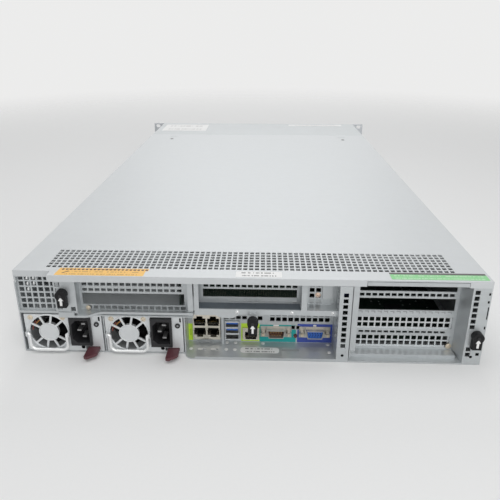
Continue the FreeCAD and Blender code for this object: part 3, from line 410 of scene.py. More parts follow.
@dataclass(frozen=True)
class PrintFinish:
    """Film label with fibres, a plain rim and rows of unreadable dashes."""

    name: str
    colour: Colour
    ink: Colour
    rows: int = 2
    words: float = 14.0
    strength: float = 0.75
    margin: float = 0.12
    band: tuple[float, float] = (0.3, 0.7)
    word_limit: float = 0.48
    row_shift: float = 7.3

    def build(self) -> bpy.types.Material:
        """Makes the material.

        Returns:
            The material.
        """
        graph = NodeGraph(self.name)
        uv = graph.add("ShaderNodeTexCoord", {}).outputs["UV"]
        u, v, _ = graph.add("ShaderNodeSeparateXYZ", {0: uv}).outputs
        line = graph.math("MULTIPLY", v, float(self.rows))
        across = graph.math("FRACT", line)
        band = graph.math("MULTIPLY", graph.math("GREATER_THAN", across, self.band[0]),
                          graph.math("LESS_THAN", across, self.band[1]))
        row = graph.math("FLOOR", line)
        spot = graph.add("ShaderNodeCombineXYZ", {0: graph.math("MULTIPLY", u, self.words),
                                                  1: graph.math("MULTIPLY", row,
                                                                self.row_shift)})
        dash = graph.add("ShaderNodeTexNoise", {"Vector": spot.outputs[0], "Scale": 1.0,
                                                "Detail": 3.0}).outputs[0]
        word = graph.math("GREATER_THAN", dash, self.word_limit)
        side = graph.math("ABSOLUTE", graph.math("SUBTRACT", u, 0.5))
        inside = graph.math("LESS_THAN", side, 0.5 - self.margin)
        ink = graph.math("MULTIPLY", graph.math("MULTIPLY", band, word), inside)
        share = graph.math("MULTIPLY", ink, self.strength if self.rows else 0.0)
        fibre = graph.noise(900.0)
        paper = graph.tint(self.colour, graph.weigh(1.0, (fibre, 0.08)))
        rough = graph.weigh(0.42, (fibre, 0.15))
        return graph.close(Base_Color=graph.blend(share, paper, self.ink), Roughness=rough,
                           Normal=graph.relief(fibre, 4e-6, 1e-4))


@dataclass(frozen=True)
class LensFinish:
    """Small tinted lamp window under a clear skin."""

    name: str
    colour: Colour

    def build(self) -> bpy.types.Material:
        """Makes the material.

        Returns:
            The material.
        """
        graph = NodeGraph(self.name)
        swirl = graph.noise(800.0, 2.0)
        return graph.close(Base_Color=graph.tint(self.colour, graph.weigh(1.0, (swirl, 0.2))),
                           Roughness=graph.weigh(0.25, (swirl, 0.1)), Coat_Weight=0.6,
                           Normal=graph.relief(swirl, 5e-6, 1e-4))


class Tone(Enum):
    """Every finish of the object."""

    GALVANISED = SheetFinish("galvanised", (0.52, 0.545, 0.555), 0.38, 0.50, crystal=0.05,
                             cloud=0.07)
    COVER = SheetFinish("cover_sheet", (0.60, 0.62, 0.63), 0.50, 0.30, crystal=0.02, cloud=0.05)
    CASE = SheetFinish("case_steel", (0.70, 0.72, 0.73), 0.40, 0.35, crystal=0.03,
                       grain=(1600.0, 1600.0, 30.0), cloud=0.06)
    BRACKET = SheetFinish("bracket_steel", (0.66, 0.68, 0.69), 0.32, crystal=0.03)
    EAR = SheetFinish("ear_steel", (0.52, 0.54, 0.56), 0.40, 0.8)
    WIRE = SheetFinish("bail_wire", (0.88, 0.89, 0.89), 0.26, 0.45, crystal=0.0, grain=900.0)
    FIN = SheetFinish("fin_aluminium", (0.62, 0.63, 0.64), 0.32, crystal=0.0)
    SHELL = SheetFinish("port_shell", (0.74, 0.69, 0.60), 0.27, crystal=0.02)
    ZINC = SheetFinish("zinc_screw", (0.75, 0.76, 0.76), 0.25, crystal=0.0, grain=900.0)
    # Painted shade: a darkened copy of bright metal, for the blades deep in the inlet recess.
    BLADE_SHADED = SheetFinish("inlet_blade_shaded", (0.30, 0.30, 0.30), 0.35, 0.7, crystal=0.0, grain=900.0)
    NICKEL = SheetFinish("connector_nickel", (0.50, 0.48, 0.44), 0.34, 0.75, crystal=0.0)
    BRASS = SheetFinish("yellow_passivated", (0.70, 0.62, 0.50), 0.32, 0.6, crystal=0.0,
                        grain=900.0)
    COPPER = SheetFinish("copper_screw", (0.74, 0.58, 0.48), 0.28, 0.7, crystal=0.0, grain=900.0)
    GOLD = SheetFinish("gold_contact", (0.85, 0.63, 0.25), 0.22, 1.0, crystal=0.0)
    BLACK = PlasticFinish("black_plastic", (0.010, 0.010, 0.011), 0.5, 0.22)
    # Black plastic of the fan rotors, with extra darkness over black_plastic that is painted
    # shade inside the supply.
    FAN_BLACK_SHADED = PlasticFinish("fan_black_shaded", (0.006, 0.006, 0.0065), 0.65, 0.07)
    SOCKET = PlasticFinish("socket_black", (0.024, 0.024, 0.026), 0.46, 0.3)
    BEZEL = PlasticFinish("bezel_plastic", (0.030, 0.032, 0.034), 0.42)
    MAROON = PlasticFinish("maroon_plastic", (0.105, 0.034, 0.042), 0.42)
    BLUE = PlasticFinish("blue_insert", (0.035, 0.13, 0.50), 0.40)
    RUST = PlasticFinish("serial_insert", (0.080, 0.030, 0.020), 0.42)
    RED_CAP = PlasticFinish("red_cap", (0.13, 0.040, 0.035), 0.34)
    # Painted shade for the shadowed middle shelf.
    SHELF_SHADE = PlasticFinish("painted_shelf_shade", (0.10, 0.12, 0.14), 0.45)
    GREY = PlasticFinish("grey_plastic", (0.32, 0.33, 0.34), 0.45)
    IVORY = PlasticFinish("white_plastic", (0.80, 0.80, 0.78), 0.45)
    ORANGE_WIRE = PlasticFinish("orange_wire", (0.42, 0.20, 0.06), 0.45)
    RED_WIRE = PlasticFinish("red_wire", (0.24, 0.06, 0.05), 0.45)
    CHIP = PlasticFinish("chip_resin", (0.018, 0.018, 0.020), 0.38)
    CAPACITOR = PlasticFinish("capacitor_sleeve", (0.05, 0.06, 0.16), 0.30)
    # Painted shade: near-black with almost no shine, laid where holes, slots and openings show
    # only the shade inside them.
    HOLE_SHADE = PlasticFinish("painted_hole_shade", (0.004, 0.004, 0.004), 0.8, 0.05)
    BOARD = BoardFinish("green_board", (0.008, 0.019, 0.013))
    LIME = PrintFinish("lime_film", (0.54, 0.80, 0.045), (0.10, 0.20, 0.02), 1, 3.0, 0.35, 0.3)
    LIME_PLAIN = PrintFinish("lime_surround", (0.54, 0.80, 0.045), (0.1, 0.2, 0.02), 0)
    TEAL = PrintFinish("teal_film", (0.010, 0.38, 0.37), (0.4, 0.6, 0.6), 0)
    VIOLET = PrintFinish("violet_film", (0.050, 0.090, 0.42), (0.4, 0.4, 0.6), 0)
    ORANGE = PrintFinish("orange_film", (0.90, 0.54, 0.15), (0.25, 0.16, 0.06), 3, 44.0, 0.5, 0.1)
    GREEN = PrintFinish("green_film", (0.27, 0.64, 0.29), (0.75, 0.85, 0.72), 2, 64.0, 0.5, 0.04)
    WHITE = PrintFinish("white_film", (0.82, 0.82, 0.81), (0.10, 0.10, 0.11), 2, 20.0)
    PLAIN = PrintFinish("plain_film", (0.84, 0.84, 0.83), (0.20, 0.20, 0.20), 2, 26.0, 0.35)
    INK = PrintFinish("dark_ink", (0.09, 0.035, 0.03), (0.1, 0.1, 0.1), 0)
    STRIP = PrintFinish("grey_strip", (0.10, 0.095, 0.095), (0.6, 0.6, 0.6), 0)
    ARROW = PrintFinish("arrow_paint", (0.86, 0.86, 0.85), (0.5, 0.5, 0.5), 0)
    LAMP_GREEN = LensFinish("green_lens", (0.10, 0.55, 0.12))
    LAMP_AMBER = LensFinish("amber_lens", (0.70, 0.36, 0.04))
    LAMP_BLUE = LensFinish("blue_lens", (0.06, 0.20, 0.65))


SLOT_TONES: dict[str, Tone] = {
    "galvanised": Tone.GALVANISED,
    "cover_steel": Tone.COVER,
    "case_steel": Tone.CASE,
    "bracket_steel": Tone.BRACKET,
    "board": Tone.BOARD,
    "port_shell": Tone.SHELL,
    "fin_aluminium": Tone.FIN,
    "black_plastic": Tone.BLACK,
    "ear_steel": Tone.EAR,
    "wire": Tone.WIRE,
    "maroon_plastic": Tone.MAROON,
    "socket_black": Tone.SOCKET,
    "red_cap": Tone.RED_CAP,
    "bezel_plastic": Tone.BEZEL,
}
NODE_TONES: dict[str, Tone] = {"serial_port": Tone.NICKEL, "vga_port": Tone.NICKEL,
                               "psu_1_rotor": Tone.FAN_BLACK_SHADED, "psu_2_rotor": Tone.FAN_BLACK_SHADED}


class Palette:
    """Materials made once and handed out by tone."""

    def __init__(self) -> None:
        """Starts with no material made."""
        self.made: dict[Tone, bpy.types.Material] = {}

    def get(self, tone: Tone) -> bpy.types.Material:
        """Material of a tone, made on first use.

        Args:
            tone: the finish.

        Returns:
            The material.
        """
        if tone not in self.made:
            self.made[tone] = tone.value.build()
        return self.made[tone]

    def dress(self) -> None:
        """Gives every CAD piece the finish of its material slot."""
        for row in frame["record"]["subparts"]:
            node = frame["nodes"][row["node"]]
            node.data.materials.clear()
            tone = NODE_TONES.get(row["node"], SLOT_TONES[row["material_slot"]])
            node.data.materials.append(self.get(tone))


# --- Surfaces -------------------------------------------------------------------------------
@dataclass
class Shell:
    """Points, faces and surface coordinates of one or more closed surfaces."""

    points: np.ndarray
    faces: list[np.ndarray]
    uvs: np.ndarray | None = None


def merge(shells: list[Shell]) -> Shell:
    """Joins a list of surfaces.

    Args:
        shells: one or more surfaces.

    Returns:
        One shell, with surface coordinates where all have them.
    """
    starts = np.cumsum([0, *(len(shell.points) for shell in shells[:-1])])
    faces = [rows + start for shell, start in zip(shells, starts) for rows in shell.faces]
    whole = all(shell.uvs is not None for shell in shells)
    return Shell(np.vstack([shell.points for shell in shells]), faces,
                 np.vstack([shell.uvs for shell in shells]) if whole else None)


def blocks(low: np.ndarray, high: np.ndarray) -> Shell:
    """Upright blocks: corner k takes the low or high value of each axis from the bits of k.

    Args:
        low: lowest corners, one row each, in metres.
        high: highest corners, one row each, in metres.

    Returns:
        All blocks as one shell.
    """
    low, high = np.atleast_2d(low), np.atleast_2d(high)
    bits = (np.arange(8)[:, None] >> np.arange(3)) & 1
    points = low[:, None, :] + bits[None] * (high - low)[:, None, :]
    quads = np.array(((0, 2, 3, 1), (4, 5, 7, 6), (0, 1, 5, 4), (2, 6, 7, 3), (0, 4, 6, 2),
                      (1, 3, 7, 5)))
    faces = (quads[None] + 8 * np.arange(len(low))[:, None, None]).reshape(-1, 4)
    return Shell(points.reshape(-1, 3), [faces])


def block(x0: float, x1: float, d0: float, d1: float, z0: float, z1: float) -> Shell:
    """One upright block between two depths.

    Args:
        x0: left side in millimetres.
        x1: right side.
        d0: rear side.
        d1: front side.
        z0: underside.
        z1: top.

    Returns:
        The block.
    """
    return blocks(at(x0, d0, z0), at(x1, d1, z1))


def rounded(width: float, height: float, radius: float, steps: int = 5) -> np.ndarray:
    """Anticlockwise rectangle whose corners are quarter circles.

    Args:
        width: full width.
        height: full height.
        radius: corner radius.
        steps: chords per corner.

    Returns:
        Rows of two coordinates around the middle.
    """
    turns = np.linspace(0, math.pi / 2, steps + 1)
    arc = np.stack((np.cos(turns), np.sin(turns)), 1) * radius
    quarter = np.array(((1, 1), (-1, 1), (-1, -1), (1, -1)))
    spin = np.array(((0, -1), (1, 0)))
    rings = []
    for index, signs in enumerate(quarter):
        corner = arc @ np.linalg.matrix_power(spin.T, index)
        rings.append(corner + signs * (width / 2 - radius, height / 2 - radius))
    return np.vstack(rings)


def ring_outline(radius: float, sides: int = 32) -> np.ndarray:
    """Anticlockwise circle of points.

    Args:
        radius: its radius.
        sides: number of points.

    Returns:
        Rows of two coordinates.
    """
    turns = np.arange(sides) * 2 * math.pi / sides
    return np.stack((np.cos(turns), np.sin(turns)), 1) * radius


def plate(outline: np.ndarray, centre: np.ndarray, facing: Facing, thick: float) -> Shell:
    """Flat outline raised outward by a thickness; u and v run over its width and height.

    Args:
        outline: anticlockwise rows of two millimetre coordinates.
        centre: middle of the seat in metres.
        facing: way it looks.
        thick: thickness in millimetres.

    Returns:
        A closed plate.
    """
    *plane, out = facing.axes()
    flat = outline @ plane * MM + centre
    here = np.arange(len(outline))
    ahead = np.roll(here, -1)
    sides = np.stack((here, ahead, ahead + len(here), here + len(here)), 1)
    uv = (outline - outline.min(0)) / np.ptp(outline, axis=0)
    return Shell(np.vstack((flat, flat + out * thick * MM)),
                 [here[None, ::-1], here[None] + len(here), sides], np.vstack((uv, uv)))


def wrap(rings: np.ndarray, loop: bool = False) -> Shell:
    """Tube over rings of points: each face joins two neighbours of one ring to the next ring's.

    Args:
        rings: points in metres, by ring and by place around it.
        loop: whether the last ring joins the first; otherwise both ends are capped.

    Returns:
        The closed tube.
    """
    rows, sides = rings.shape[:2]
    grid = np.arange(rows * sides).reshape(rows, sides)
    near, far = (grid, np.roll(grid, -1, 0)) if loop else (grid[:-1], grid[1:])
    quads = np.stack((near, np.roll(near, -1, 1), np.roll(far, -1, 1), far), -1).reshape(-1, 4)
    caps = [] if loop else [grid[0][None, ::-1], grid[-1][None]]
    return Shell(rings.reshape(-1, 3), [quads, *caps])


def turned(profile: np.ndarray, centre: np.ndarray, facing: Facing, sides: int = 24,
           loop: bool = False) -> Shell:
    """Profile of radius and height turned about the outward axis.

    Args:
        profile: rows of radius and outward height in millimetres, from the seat outward.
        centre: point of the axis at height nought, in metres.
        facing: outward direction.
        sides: number of segments.
        loop: whether the profile closes on itself; otherwise its ends lie at the axis.

    Returns:
        A closed turned surface.
    """
    *plane, out = facing.axes()
    spokes = ring_outline(1.0, sides) @ plane
    return wrap(centre + MM * (profile[:, :1, None] * spokes + profile[:, 1:, None] * out), loop)


def hose(path: np.ndarray, radius: float, sides: int = 14) -> Shell:
    """Round bar along a flat path: each ring lies square to the path's direction.

    Args:
        path: rows of points in metres, all in one plane.
        radius: bar radius in millimetres.
        sides: points per ring.

    Returns:
        The closed bar.
    """
    along = np.gradient(path, axis=0)
    along /= np.linalg.norm(along, axis=1, keepdims=True)
    flat = np.linalg.svd(path - path.mean(0))[2][2]
    across = np.cross(flat, along)[:, None]
    around = ring_outline(radius * MM, sides)
    return wrap(path[:, None] + around[:, :1] * across + around[:, 1:] * flat)


def cross_head(radius: float, height: float, centre: np.ndarray, facing: Facing) -> Shell:
    """Pan-head screw: a domed height that falls off with radius squared, less a cross recess.

    Args:
        radius: head radius in millimetres.
        height: head height in millimetres.
        centre: seat of the head in metres.
        facing: way it looks.

    Returns:
        The closed head.
    """
    sides, rows, drop = 32, 9, 0.45
    arm_half, arm_reach, arm_depth = 0.13, 0.58, 0.55
    *plane, out = facing.axes()
    turns = (np.arange(sides) + 0.5) * 2 * math.pi / sides
    share = np.linspace(1, 0.04, rows)[:, None, None]
    flat = share * np.stack((np.cos(turns), np.sin(turns)), -1)
    arm, reach = np.sort(np.abs(flat)).transpose(2, 0, 1)
    recess = (arm < arm_half) & (reach < arm_reach)
    lift = height * (1 - drop * share[..., 0] ** 2 - arm_depth * recess)
    flat = np.concatenate((flat[:1], flat))
    lift = np.concatenate((0 * lift[:1], lift))[..., None]
    return wrap(centre + MM * (radius * (flat @ plane) + lift * out))


# --- Pieces ---------------------------------------------------------------------------------
@dataclass
class Builder:
    """Turns shells into named pieces that ride on CAD bodies."""

    palette: Palette
    count: int = 0

    def piece(self, name: str, made: Shell | list[Shell], tone: Tone, body: str = "chassis",
              smooth: bool = False, bevel: float = 0.0) -> bpy.types.Object:
        """Makes one piece at the origin of the part's frame.

        Args:
            name: name of the piece.
            made: its surface, or the surfaces that it joins.
            tone: its finish.
            body: CAD body that carries it.
            smooth: whether its faces shade as one curve.
            bevel: width of its rounded edges in millimetres, or nought.

        Returns:
            The new object.
        """
        shell = merge(made) if isinstance(made, list) else made
        mesh = bpy.data.meshes.new(name)
        faces = [face for rows in shell.faces for face in rows.tolist()]
        mesh.from_pydata(shell.points.tolist(), [], faces)
        mesh.polygons.foreach_set("use_smooth", np.full(len(mesh.polygons), smooth))
        if shell.uvs is not None:
            corners = np.empty(len(mesh.loops), int)
            mesh.loops.foreach_get("vertex_index", corners)
            layer = mesh.uv_layers.new(name="print")
            layer.data.foreach_set("uv", shell.uvs[corners].astype(np.float32).ravel())
        mesh.materials.append(self.palette.get(tone))
        mesh.update()
        thing = bpy.data.objects.new(name, mesh)
        bpy.context.scene.collection.objects.link(thing)
        if bevel:
            rim = thing.modifiers.new("rim", "BEVEL")
            rim.width = bevel * MM
            rim.segments = 2
            rim.limit_method = "ANGLE"
        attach(thing, body)
        self.count += 1
        return thing


@dataclass
class Assembly:
    """Base of every group of fine pieces."""

    builder: Builder

    def sticker(self, name: str, outline: np.ndarray, spot: Spot, facing: Facing, tone: Tone,
                body: str = "chassis", thick: float = 0.05) -> bpy.types.Object:
        """A thin film on a face.

        Args:
            name: name of the piece.
            outline: anticlockwise outline in millimetres.
            spot: middle of the seat as x, d and z.
            facing: way it looks.
            tone: its finish.
            body: CAD body that carries it.
            thick: film thickness in millimetres.

        Returns:
            The new object.
        """
        seat = at(*spot) + facing.axes()[2] * SKIN_GAP * MM
        return self.builder.piece(name, plate(outline, seat, facing, thick), tone, body)

    def screw(self, name: str, spot: Spot, radius: float, tone: Tone = Tone.ZINC,
              facing: Facing = Facing.REAR, body: str = "chassis",
              height: float = 1.1) -> bpy.types.Object:
        """A cross-recessed screw on a thin washer.

        Args:
            name: name of the piece.
            spot: seat as x, d and z.
            radius: head radius in millimetres.
            tone: its finish.
            facing: way it looks.
            body: CAD body that carries it.
            height: head height in millimetres.

        Returns:
            The new object.
        """
        seat = at(*spot)
        rim, thick = radius + 0.7, 0.3
        washer = turned(np.array(((rim, 0.0), (rim, thick), (0.3, thick + 0.02))), seat, facing)
        head = cross_head(radius, height, seat + facing.axes()[2] * thick * MM, facing)
        return self.builder.piece(name, [washer, head], tone, body)


@dataclass
class CoverDress(Assembly):
    """Fine grid of the cover vent, its films and release marks."""

    body: str = "top_cover"
    pitch: float = 5.45
    hole: float = 3.9
    first_d: float = 18.0
    rows: int = 7
    groups: int = 5
    per_group: int = 14
    dots: int = 22
    dot_pitch: float = 3.72
    print_lift: float = 0.08
    button_x: float = 171.0

    def bars(self) -> None:
        """Thin webs that part each long vent slot into square holes."""
        count = self.groups * self.per_group
        width = self.pitch * (count - 1) + self.hole
        column = np.arange(count - 1)
        column = column[(column + 1) % self.per_group != 0]
        left = -width / 2 + self.hole + column * self.pitch
        row = self.first_d - self.hole / 2 + np.arange(self.rows) * self.pitch
        x, d = (part.ravel() for part in np.meshgrid(left, row))
        slack = 0.01
        low = at(x, d - slack, ROOF_Z - SHEET)
        size = np.array((self.pitch - self.hole, self.hole + 2 * slack, SHEET - slack)) * MM
        self.builder.piece("cover_vent_webs", blocks(low, low + size), Tone.COVER, self.body)

    def orange_film(self) -> None:
        """Orange film with a notched edge, and its printed row of dots and slash."""
        notched = np.array(((-42.2, -6.8), (39.4, -6.8), (39.8, 2.0), (40.6, 2.6), (42.2, 2.9),
                            (42.2, 6.8), (-41.4, 6.8)))
        self.sticker("film_orange", notched, (-134.2, 8.0, ROOF_Z), Facing.TOP, Tone.ORANGE,
                     self.body)
        slash = np.array(((-3.0, -2.2), (-1.4, -2.2), (3.0, 2.2), (1.4, 2.2)))
        marks = [(ring_outline(1.35, 12), -171.8 + self.dot_pitch * k, 12.3)
                 for k in range(self.dots)] + [(slash, -168.0, 7.0)]
        made = [plate(outline, at(x, d, ROOF_Z + self.print_lift), Facing.TOP, 0.01)
                for outline, x, d in marks]
        self.builder.piece("film_orange_dots", made, Tone.INK, self.body)

    def films(self) -> None:
        """Coloured and white films near the rear edge and the front left corner, and a pale strip
        along the front edge at the right.
        """
        rows = (
            ("white_rear", (42, 10.4, 1.0), 10.0, 7.7, Tone.WHITE, self.body),
            ("green", (87, 9.0, 0.8), 172.5, 6.9, Tone.GREEN, self.body),
            ("dark_strip", (87, 3.0, 0.5), 172.5, 13.2, Tone.STRIP, self.body),
            ("front_left", (96, 66, 2.0), -160.0, 672.0, Tone.PLAIN, "chassis"),
            # front_right: a pale strip along the right part of the front edge, drawn as a thin
            # white plate.
            ("front_right", (120, 14, 1.5), 130.0, 706.0, Tone.PLAIN, "chassis"),
        )
        for name, size, x, d, tone, body in rows:
            self.sticker(f"film_{name}", rounded(*size), (x, d, ROOF_Z), Facing.TOP, tone, body)

    def marks(self) -> None:
        """Pressed arrows beside the release buttons and the screws of the front roof."""
        arrow = np.array(((-2.2, -4.0), (2.2, -4.0), (2.2, 1.0), (4.6, 1.0), (0.0, 6.0),
                          (-4.6, 1.0), (-2.2, 1.0)))
        for index, side in enumerate((-1, 1)):
            self.sticker(f"cover_arrow_{index}", arrow[::-1] * (1, -1),
                         (side * self.button_x, 560, ROOF_Z), Facing.TOP, Tone.STRIP, self.body,
                         0.06)
        for index, (x, d) in enumerate(((-205, 640), (0, 650), (205, 640), (0, 709))):
            self.screw(f"roof_screw_{index}", (x, d, ROOF_Z - 0.6), 2.4, facing=Facing.TOP,
                       height=0.3)

    def build(self) -> None:
        """Makes every piece of the cover."""
        self.bars()
        self.orange_film()
        self.films()
        self.marks()


@dataclass
class PowerSupplyDress(Assembly):
    """Bright bail, screws, wires, lamp ring and terminals of one power supply."""

    number: int = 1
    face_d: float = 8.0
    fan_x: float = -14.9
    fan_z: float = 22.0
    lamp_x: float = 32.6
    lamp_z: float = 32.2
    wire_radius: float = 1.55
    wire_foot: float = 2.9
    wire_corner: float = 6.0
    wire_elbow: float = 1.6

    def __post_init__(self) -> None:
        """Names the body and finds the middle of the case and of the fan."""
        self.body = f"psu_{self.number}"
        self.mid = float(rear_middle(f"{self.body}_case")[0])
        self.fan = self.mid + self.fan_x

    def build(self) -> None:
        """Makes every piece of the supply."""
        self.bail()
        for index, x in enumerate((-31.2, -0.2)):
            self.screw(f"{self.body}_face_screw_{index}", (self.mid + x, self.face_d, 38.0), 1.9,
                       Tone.BRASS, body=self.body, height=0.7)
        self.lamp()
        # A round hole and a slot of the face, drawn as dark shapes of painted shade.
        for name, outline, x, z in (("hole_shade_low", ring_outline(1.9), 16.8, 5.6),
                                    ("slot_shade_high", rounded(1.6, 4.6, 0.7), 35.0, 37.6)):
            self.sticker(f"{self.body}_{name}", outline, (self.mid + x, self.face_d, z),
                         Facing.REAR, Tone.HOLE_SHADE, self.body)
        self.hub()
        self.leads()
        self.terminals()

    def lamp(self) -> None:
        """Dark ring with a grey lens in the middle."""
        ring = np.array(((2.5, 0.0), (2.5, 1.0), (1.4, 1.25), (1.15, 0.75), (0.02, 0.7)))
        lens = np.array(((1.1, 0.0), (0.9, 0.3), (0.02, 0.4)))
        for name, profile, ahead, tone in (("lamp_ring", ring, 0.8, Tone.SOCKET),
                                           ("lamp", lens, 1.5, Tone.GREY)):
            seat = at(self.mid + self.lamp_x, self.face_d - ahead, self.lamp_z)
            self.builder.piece(f"{self.body}_{name}", turned(profile, seat, Facing.REAR), tone,
                               self.body, True)

    def bail(self) -> None:
        """Smooth wire handle: two straight legs, a straight foot, quarter-circle corners."""
        low, high = span(f"{self.body}_bail")
        z_top, z_foot = high[2] - self.wire_radius, low[2] + self.wire_radius
        left, right = low[0] + self.wire_foot, high[0] - self.wire_foot
        bend = np.linspace(0, math.pi / 2, 9)
        elbow, corner = self.wire_elbow, self.wire_corner
        x = np.concatenate(((low[0], left - elbow), left - elbow + elbow * np.sin(bend),
                            left + corner - corner * np.cos(bend)))
        z = np.concatenate(((z_top, z_top), z_top - elbow + elbow * np.cos(bend),
                            z_foot + corner - corner * np.sin(bend)))
        path = at(np.concatenate((x, left + right - x[::-1])), (low[1] + high[1]) / 2,
                  np.concatenate((z, z[::-1])))
        keep = np.concatenate(((True,), np.linalg.norm(np.diff(path, axis=0), axis=1) > 1e-6))
        wire = self.builder.piece(f"{self.body}_bail_wire",
                                  hose(path[keep], self.wire_radius, 18), Tone.WIRE,
                                  f"{self.body}_bail", True)
        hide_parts(f"{self.body}_bail")

    def hub(self) -> None:
        """Pressed rings of the finger guard: a raised hub rim and an outer rim."""
        bead = np.linspace(0, math.pi, 7)
        for name, radius, half, rise in (("hub_bead", 9.2, 0.7, 0.35),
                                         ("rim_bead", 19.3, 0.9, 0.45)):
            section = np.stack((radius + half * np.cos(bead), rise * np.sin(bead)), 1)
            ring = turned(section, at(self.fan, self.face_d, self.fan_z), Facing.REAR, 64, True)
            self.builder.piece(f"{self.body}_{name}", ring, Tone.CASE, self.body, True)

    def leads(self) -> None:
        """Loose fan leads that arc behind the upper left of the guard."""
        for index, (tone, start, stop, reach) in enumerate((
                (Tone.ORANGE_WIRE, 118.0, 160.0, 14.6), (Tone.RED_WIRE, 138.0, 176.0, 16.4),
                (Tone.BLACK, 126.0, 168.0, 17.9))):
            turns = np.radians(np.linspace(start, stop, 14))
            path = at(self.fan + reach * np.cos(turns), self.face_d + 1.9,
                      self.fan_z + reach * np.sin(turns))
            self.builder.piece(f"{self.body}_lead_{index}", hose(path, 0.6, 10), tone,
                               self.body, True)

    def terminals(self) -> None:
        """Tips over the three inlet blades, their bright metal darkened as painted shade of the
        inlet recess.
        """
        x, d, z = rear_middle(f"{self.body}_inlet")
        half_w, half_h = 2.05, 1.05
        tips = [block(px - half_w, px + half_w, d + 2.95, d + 12.0, pz - half_h, pz + half_h)
                for px, pz in ((x - 2.0, z), (x + 2.4, z + 7.0), (x + 2.4, z - 7.0))]
        self.builder.piece(f"{self.body}_blades", tips, Tone.BLADE_SHADED, self.body, bevel=0.3)


@dataclass
class PortDress(Assembly):
    """Contacts, tongues, inserts and films of the port wall."""

    jack_x: float = 6.7
    jack_z: float = 7.1
    jack_half_w: float = 5.6
    jack_half_h: float = 3.75
    shade_lining: float = 0.2
    comb_x: float = 3.9
    comb_z: float = 3.3
    contact_pitch: float = 1.02
    bus_pitch: float = 7.0
    pin_pitch: float = 2.6
    nut_x: float = 12.5

    def jack(self, name: str, x: float, z: float, up: int, face_d: float) -> None:
        """Contact comb of one network jack, with near-black inner walls and a dark strip at the
        lip, both painted shade.

        Args:
            name: prefix of the pieces.
            x: middle across.
            z: middle upward.
            up: one when the latch is above, minus one when it is below.
            face_d: depth of the front face.
        """
        d = IO_D + 1.0
        comb = z - up * self.comb_z
        pins = [block(left, left + 0.35, d, d + 7.0, comb - 0.2, comb + 0.2)
                for left in x - self.comb_x + self.contact_pitch * np.arange(8)]
        self.builder.piece(f"{name}_contacts", pins, Tone.GOLD)
        w, h = self.jack_half_w, self.jack_half_h
        w_in, h_in = w - self.shade_lining, h - self.shade_lining
        # Inner walls in near-black: the jack's plastic is dark, and the rest of the darkness is
        # painted shade deep inside.
        walls = ((-w, w, h_in, h, -0.6, 11.0), (-w, w, -h, -h_in, -0.6, 11.0),
                 (-w, -w_in, -h_in, h_in, -0.6, 11.0), (w_in, w, -h_in, h_in, -0.6, 11.0),
                 (-w, w, -h, h, 10.0, 10.4))
        shade_lining = [block(x + x0, x + x1, d + d0, d + d1, z + z0, z + z1)
                  for x0, x1, z0, z1, d0, d1 in walls]
        self.builder.piece(f"{name}_lining", shade_lining, Tone.HOLE_SHADE)
        # Dark strip of painted shade along the lip of the opening.
        self.sticker(f"{name}_lip", rounded(10.8, 2.2, 0.4), (x, face_d, z - up * 4.7),
                     Facing.REAR, Tone.HOLE_SHADE, thick=MARK)

    def network(self) -> None:
        """Four stacked network jacks and the management jack."""
        x, face_d, z = rear_middle("lan_ports")
        for index, (i, j) in enumerate(((-1, -1), (-1, 1), (1, -1), (1, 1))):
            self.jack(f"network_{index}", x + i * self.jack_x, z + j * self.jack_z, j, face_d)
        x, face_d, z = rear_middle("management_port")
        self.jack("management", x, z, 1, face_d)

    def serial_bus(self) -> None:
        """Tongues of the stacked bus ports: blue in the two fast ones, black in the other."""
        x, d, middle = rear_middle("usb_ports")
        for index, tone in enumerate((Tone.BLUE, Tone.BLUE, Tone.SOCKET)):
            z = middle + (1 - index) * self.bus_pitch
            tongue = block(x - 5.6, x + 5.6, d + 0.9, d + 8.0, z + 0.1, z + 1.9)
            self.builder.piece(f"bus_tongue_{index}", tongue, tone, bevel=0.2)
            pads = [block(left, left + 1.2, d + 1.2, d + 7.0, z - 0.02, z + 0.08)
                    for left in x - 4.2 + 2.3 * np.arange(4)]
            self.builder.piece(f"bus_contacts_{index}", pads, Tone.GOLD)

    def shell_insert(self, node: str, tone: Tone, pins: bool) -> None:
        """Coloured insert of a D-shaped connector with its rows of pins or holes.

        Args:
            node: CAD node of the connector.
            tone: colour of the insert.
            pins: whether it carries pins; otherwise it has holes.
        """
        x, d, z = rear_middle(node)
        half_w, half_h, lean = 7.6, 3.7, 1.05
        outline = np.array(((lean - half_w, -half_h), (half_w - lean, -half_h),
                            (half_w, half_h), (-half_w, half_h)))
        depth = d + (4.2 if pins else 0.8)
        self.sticker(f"{node}_insert", outline, (x, depth, z), Facing.REAR, tone, thick=0.2)
        rows = ((5, 1.4, 0.0), (4, -1.4, 0.0)) if pins else ((5, 2.0, 0.0), (5, 0.0, 0.6),
                                                              (5, -2.0, 0.0))
        spots = [(x + (k - (count - 1) / 2) * self.pin_pitch + shift, z + rise)
                 for count, rise, shift in rows for k in range(count)]
        if pins:
            tip = np.array(((0.45, 0.0), (0.45, 2.2), (0.2, 2.6), (0.02, 2.65)))
            made = [turned(tip, at(px, depth - 0.4, pz), Facing.REAR, 10) for px, pz in spots]
            self.builder.piece(f"{node}_pins", made, Tone.GOLD, smooth=True)
        else:
            # The socket holes are dark discs of painted shade.
            made = [plate(ring_outline(0.55, 14), at(px, depth - 0.23, pz), Facing.REAR, 0.02)
                    for px, pz in spots]
            self.builder.piece(f"{node}_holes", made, Tone.HOLE_SHADE)
        nut = np.array(((1.5, 0.0), (1.5, 0.6), (0.8, 0.62), (0.75, -0.6), (0.02, -0.6)))
        made = [turned(nut, at(x + side * self.nut_x, d - 0.05, z), Facing.REAR, 20)
                for side in (-1, 1)]
        self.builder.piece(f"{node}_nuts", made, Tone.BRASS)

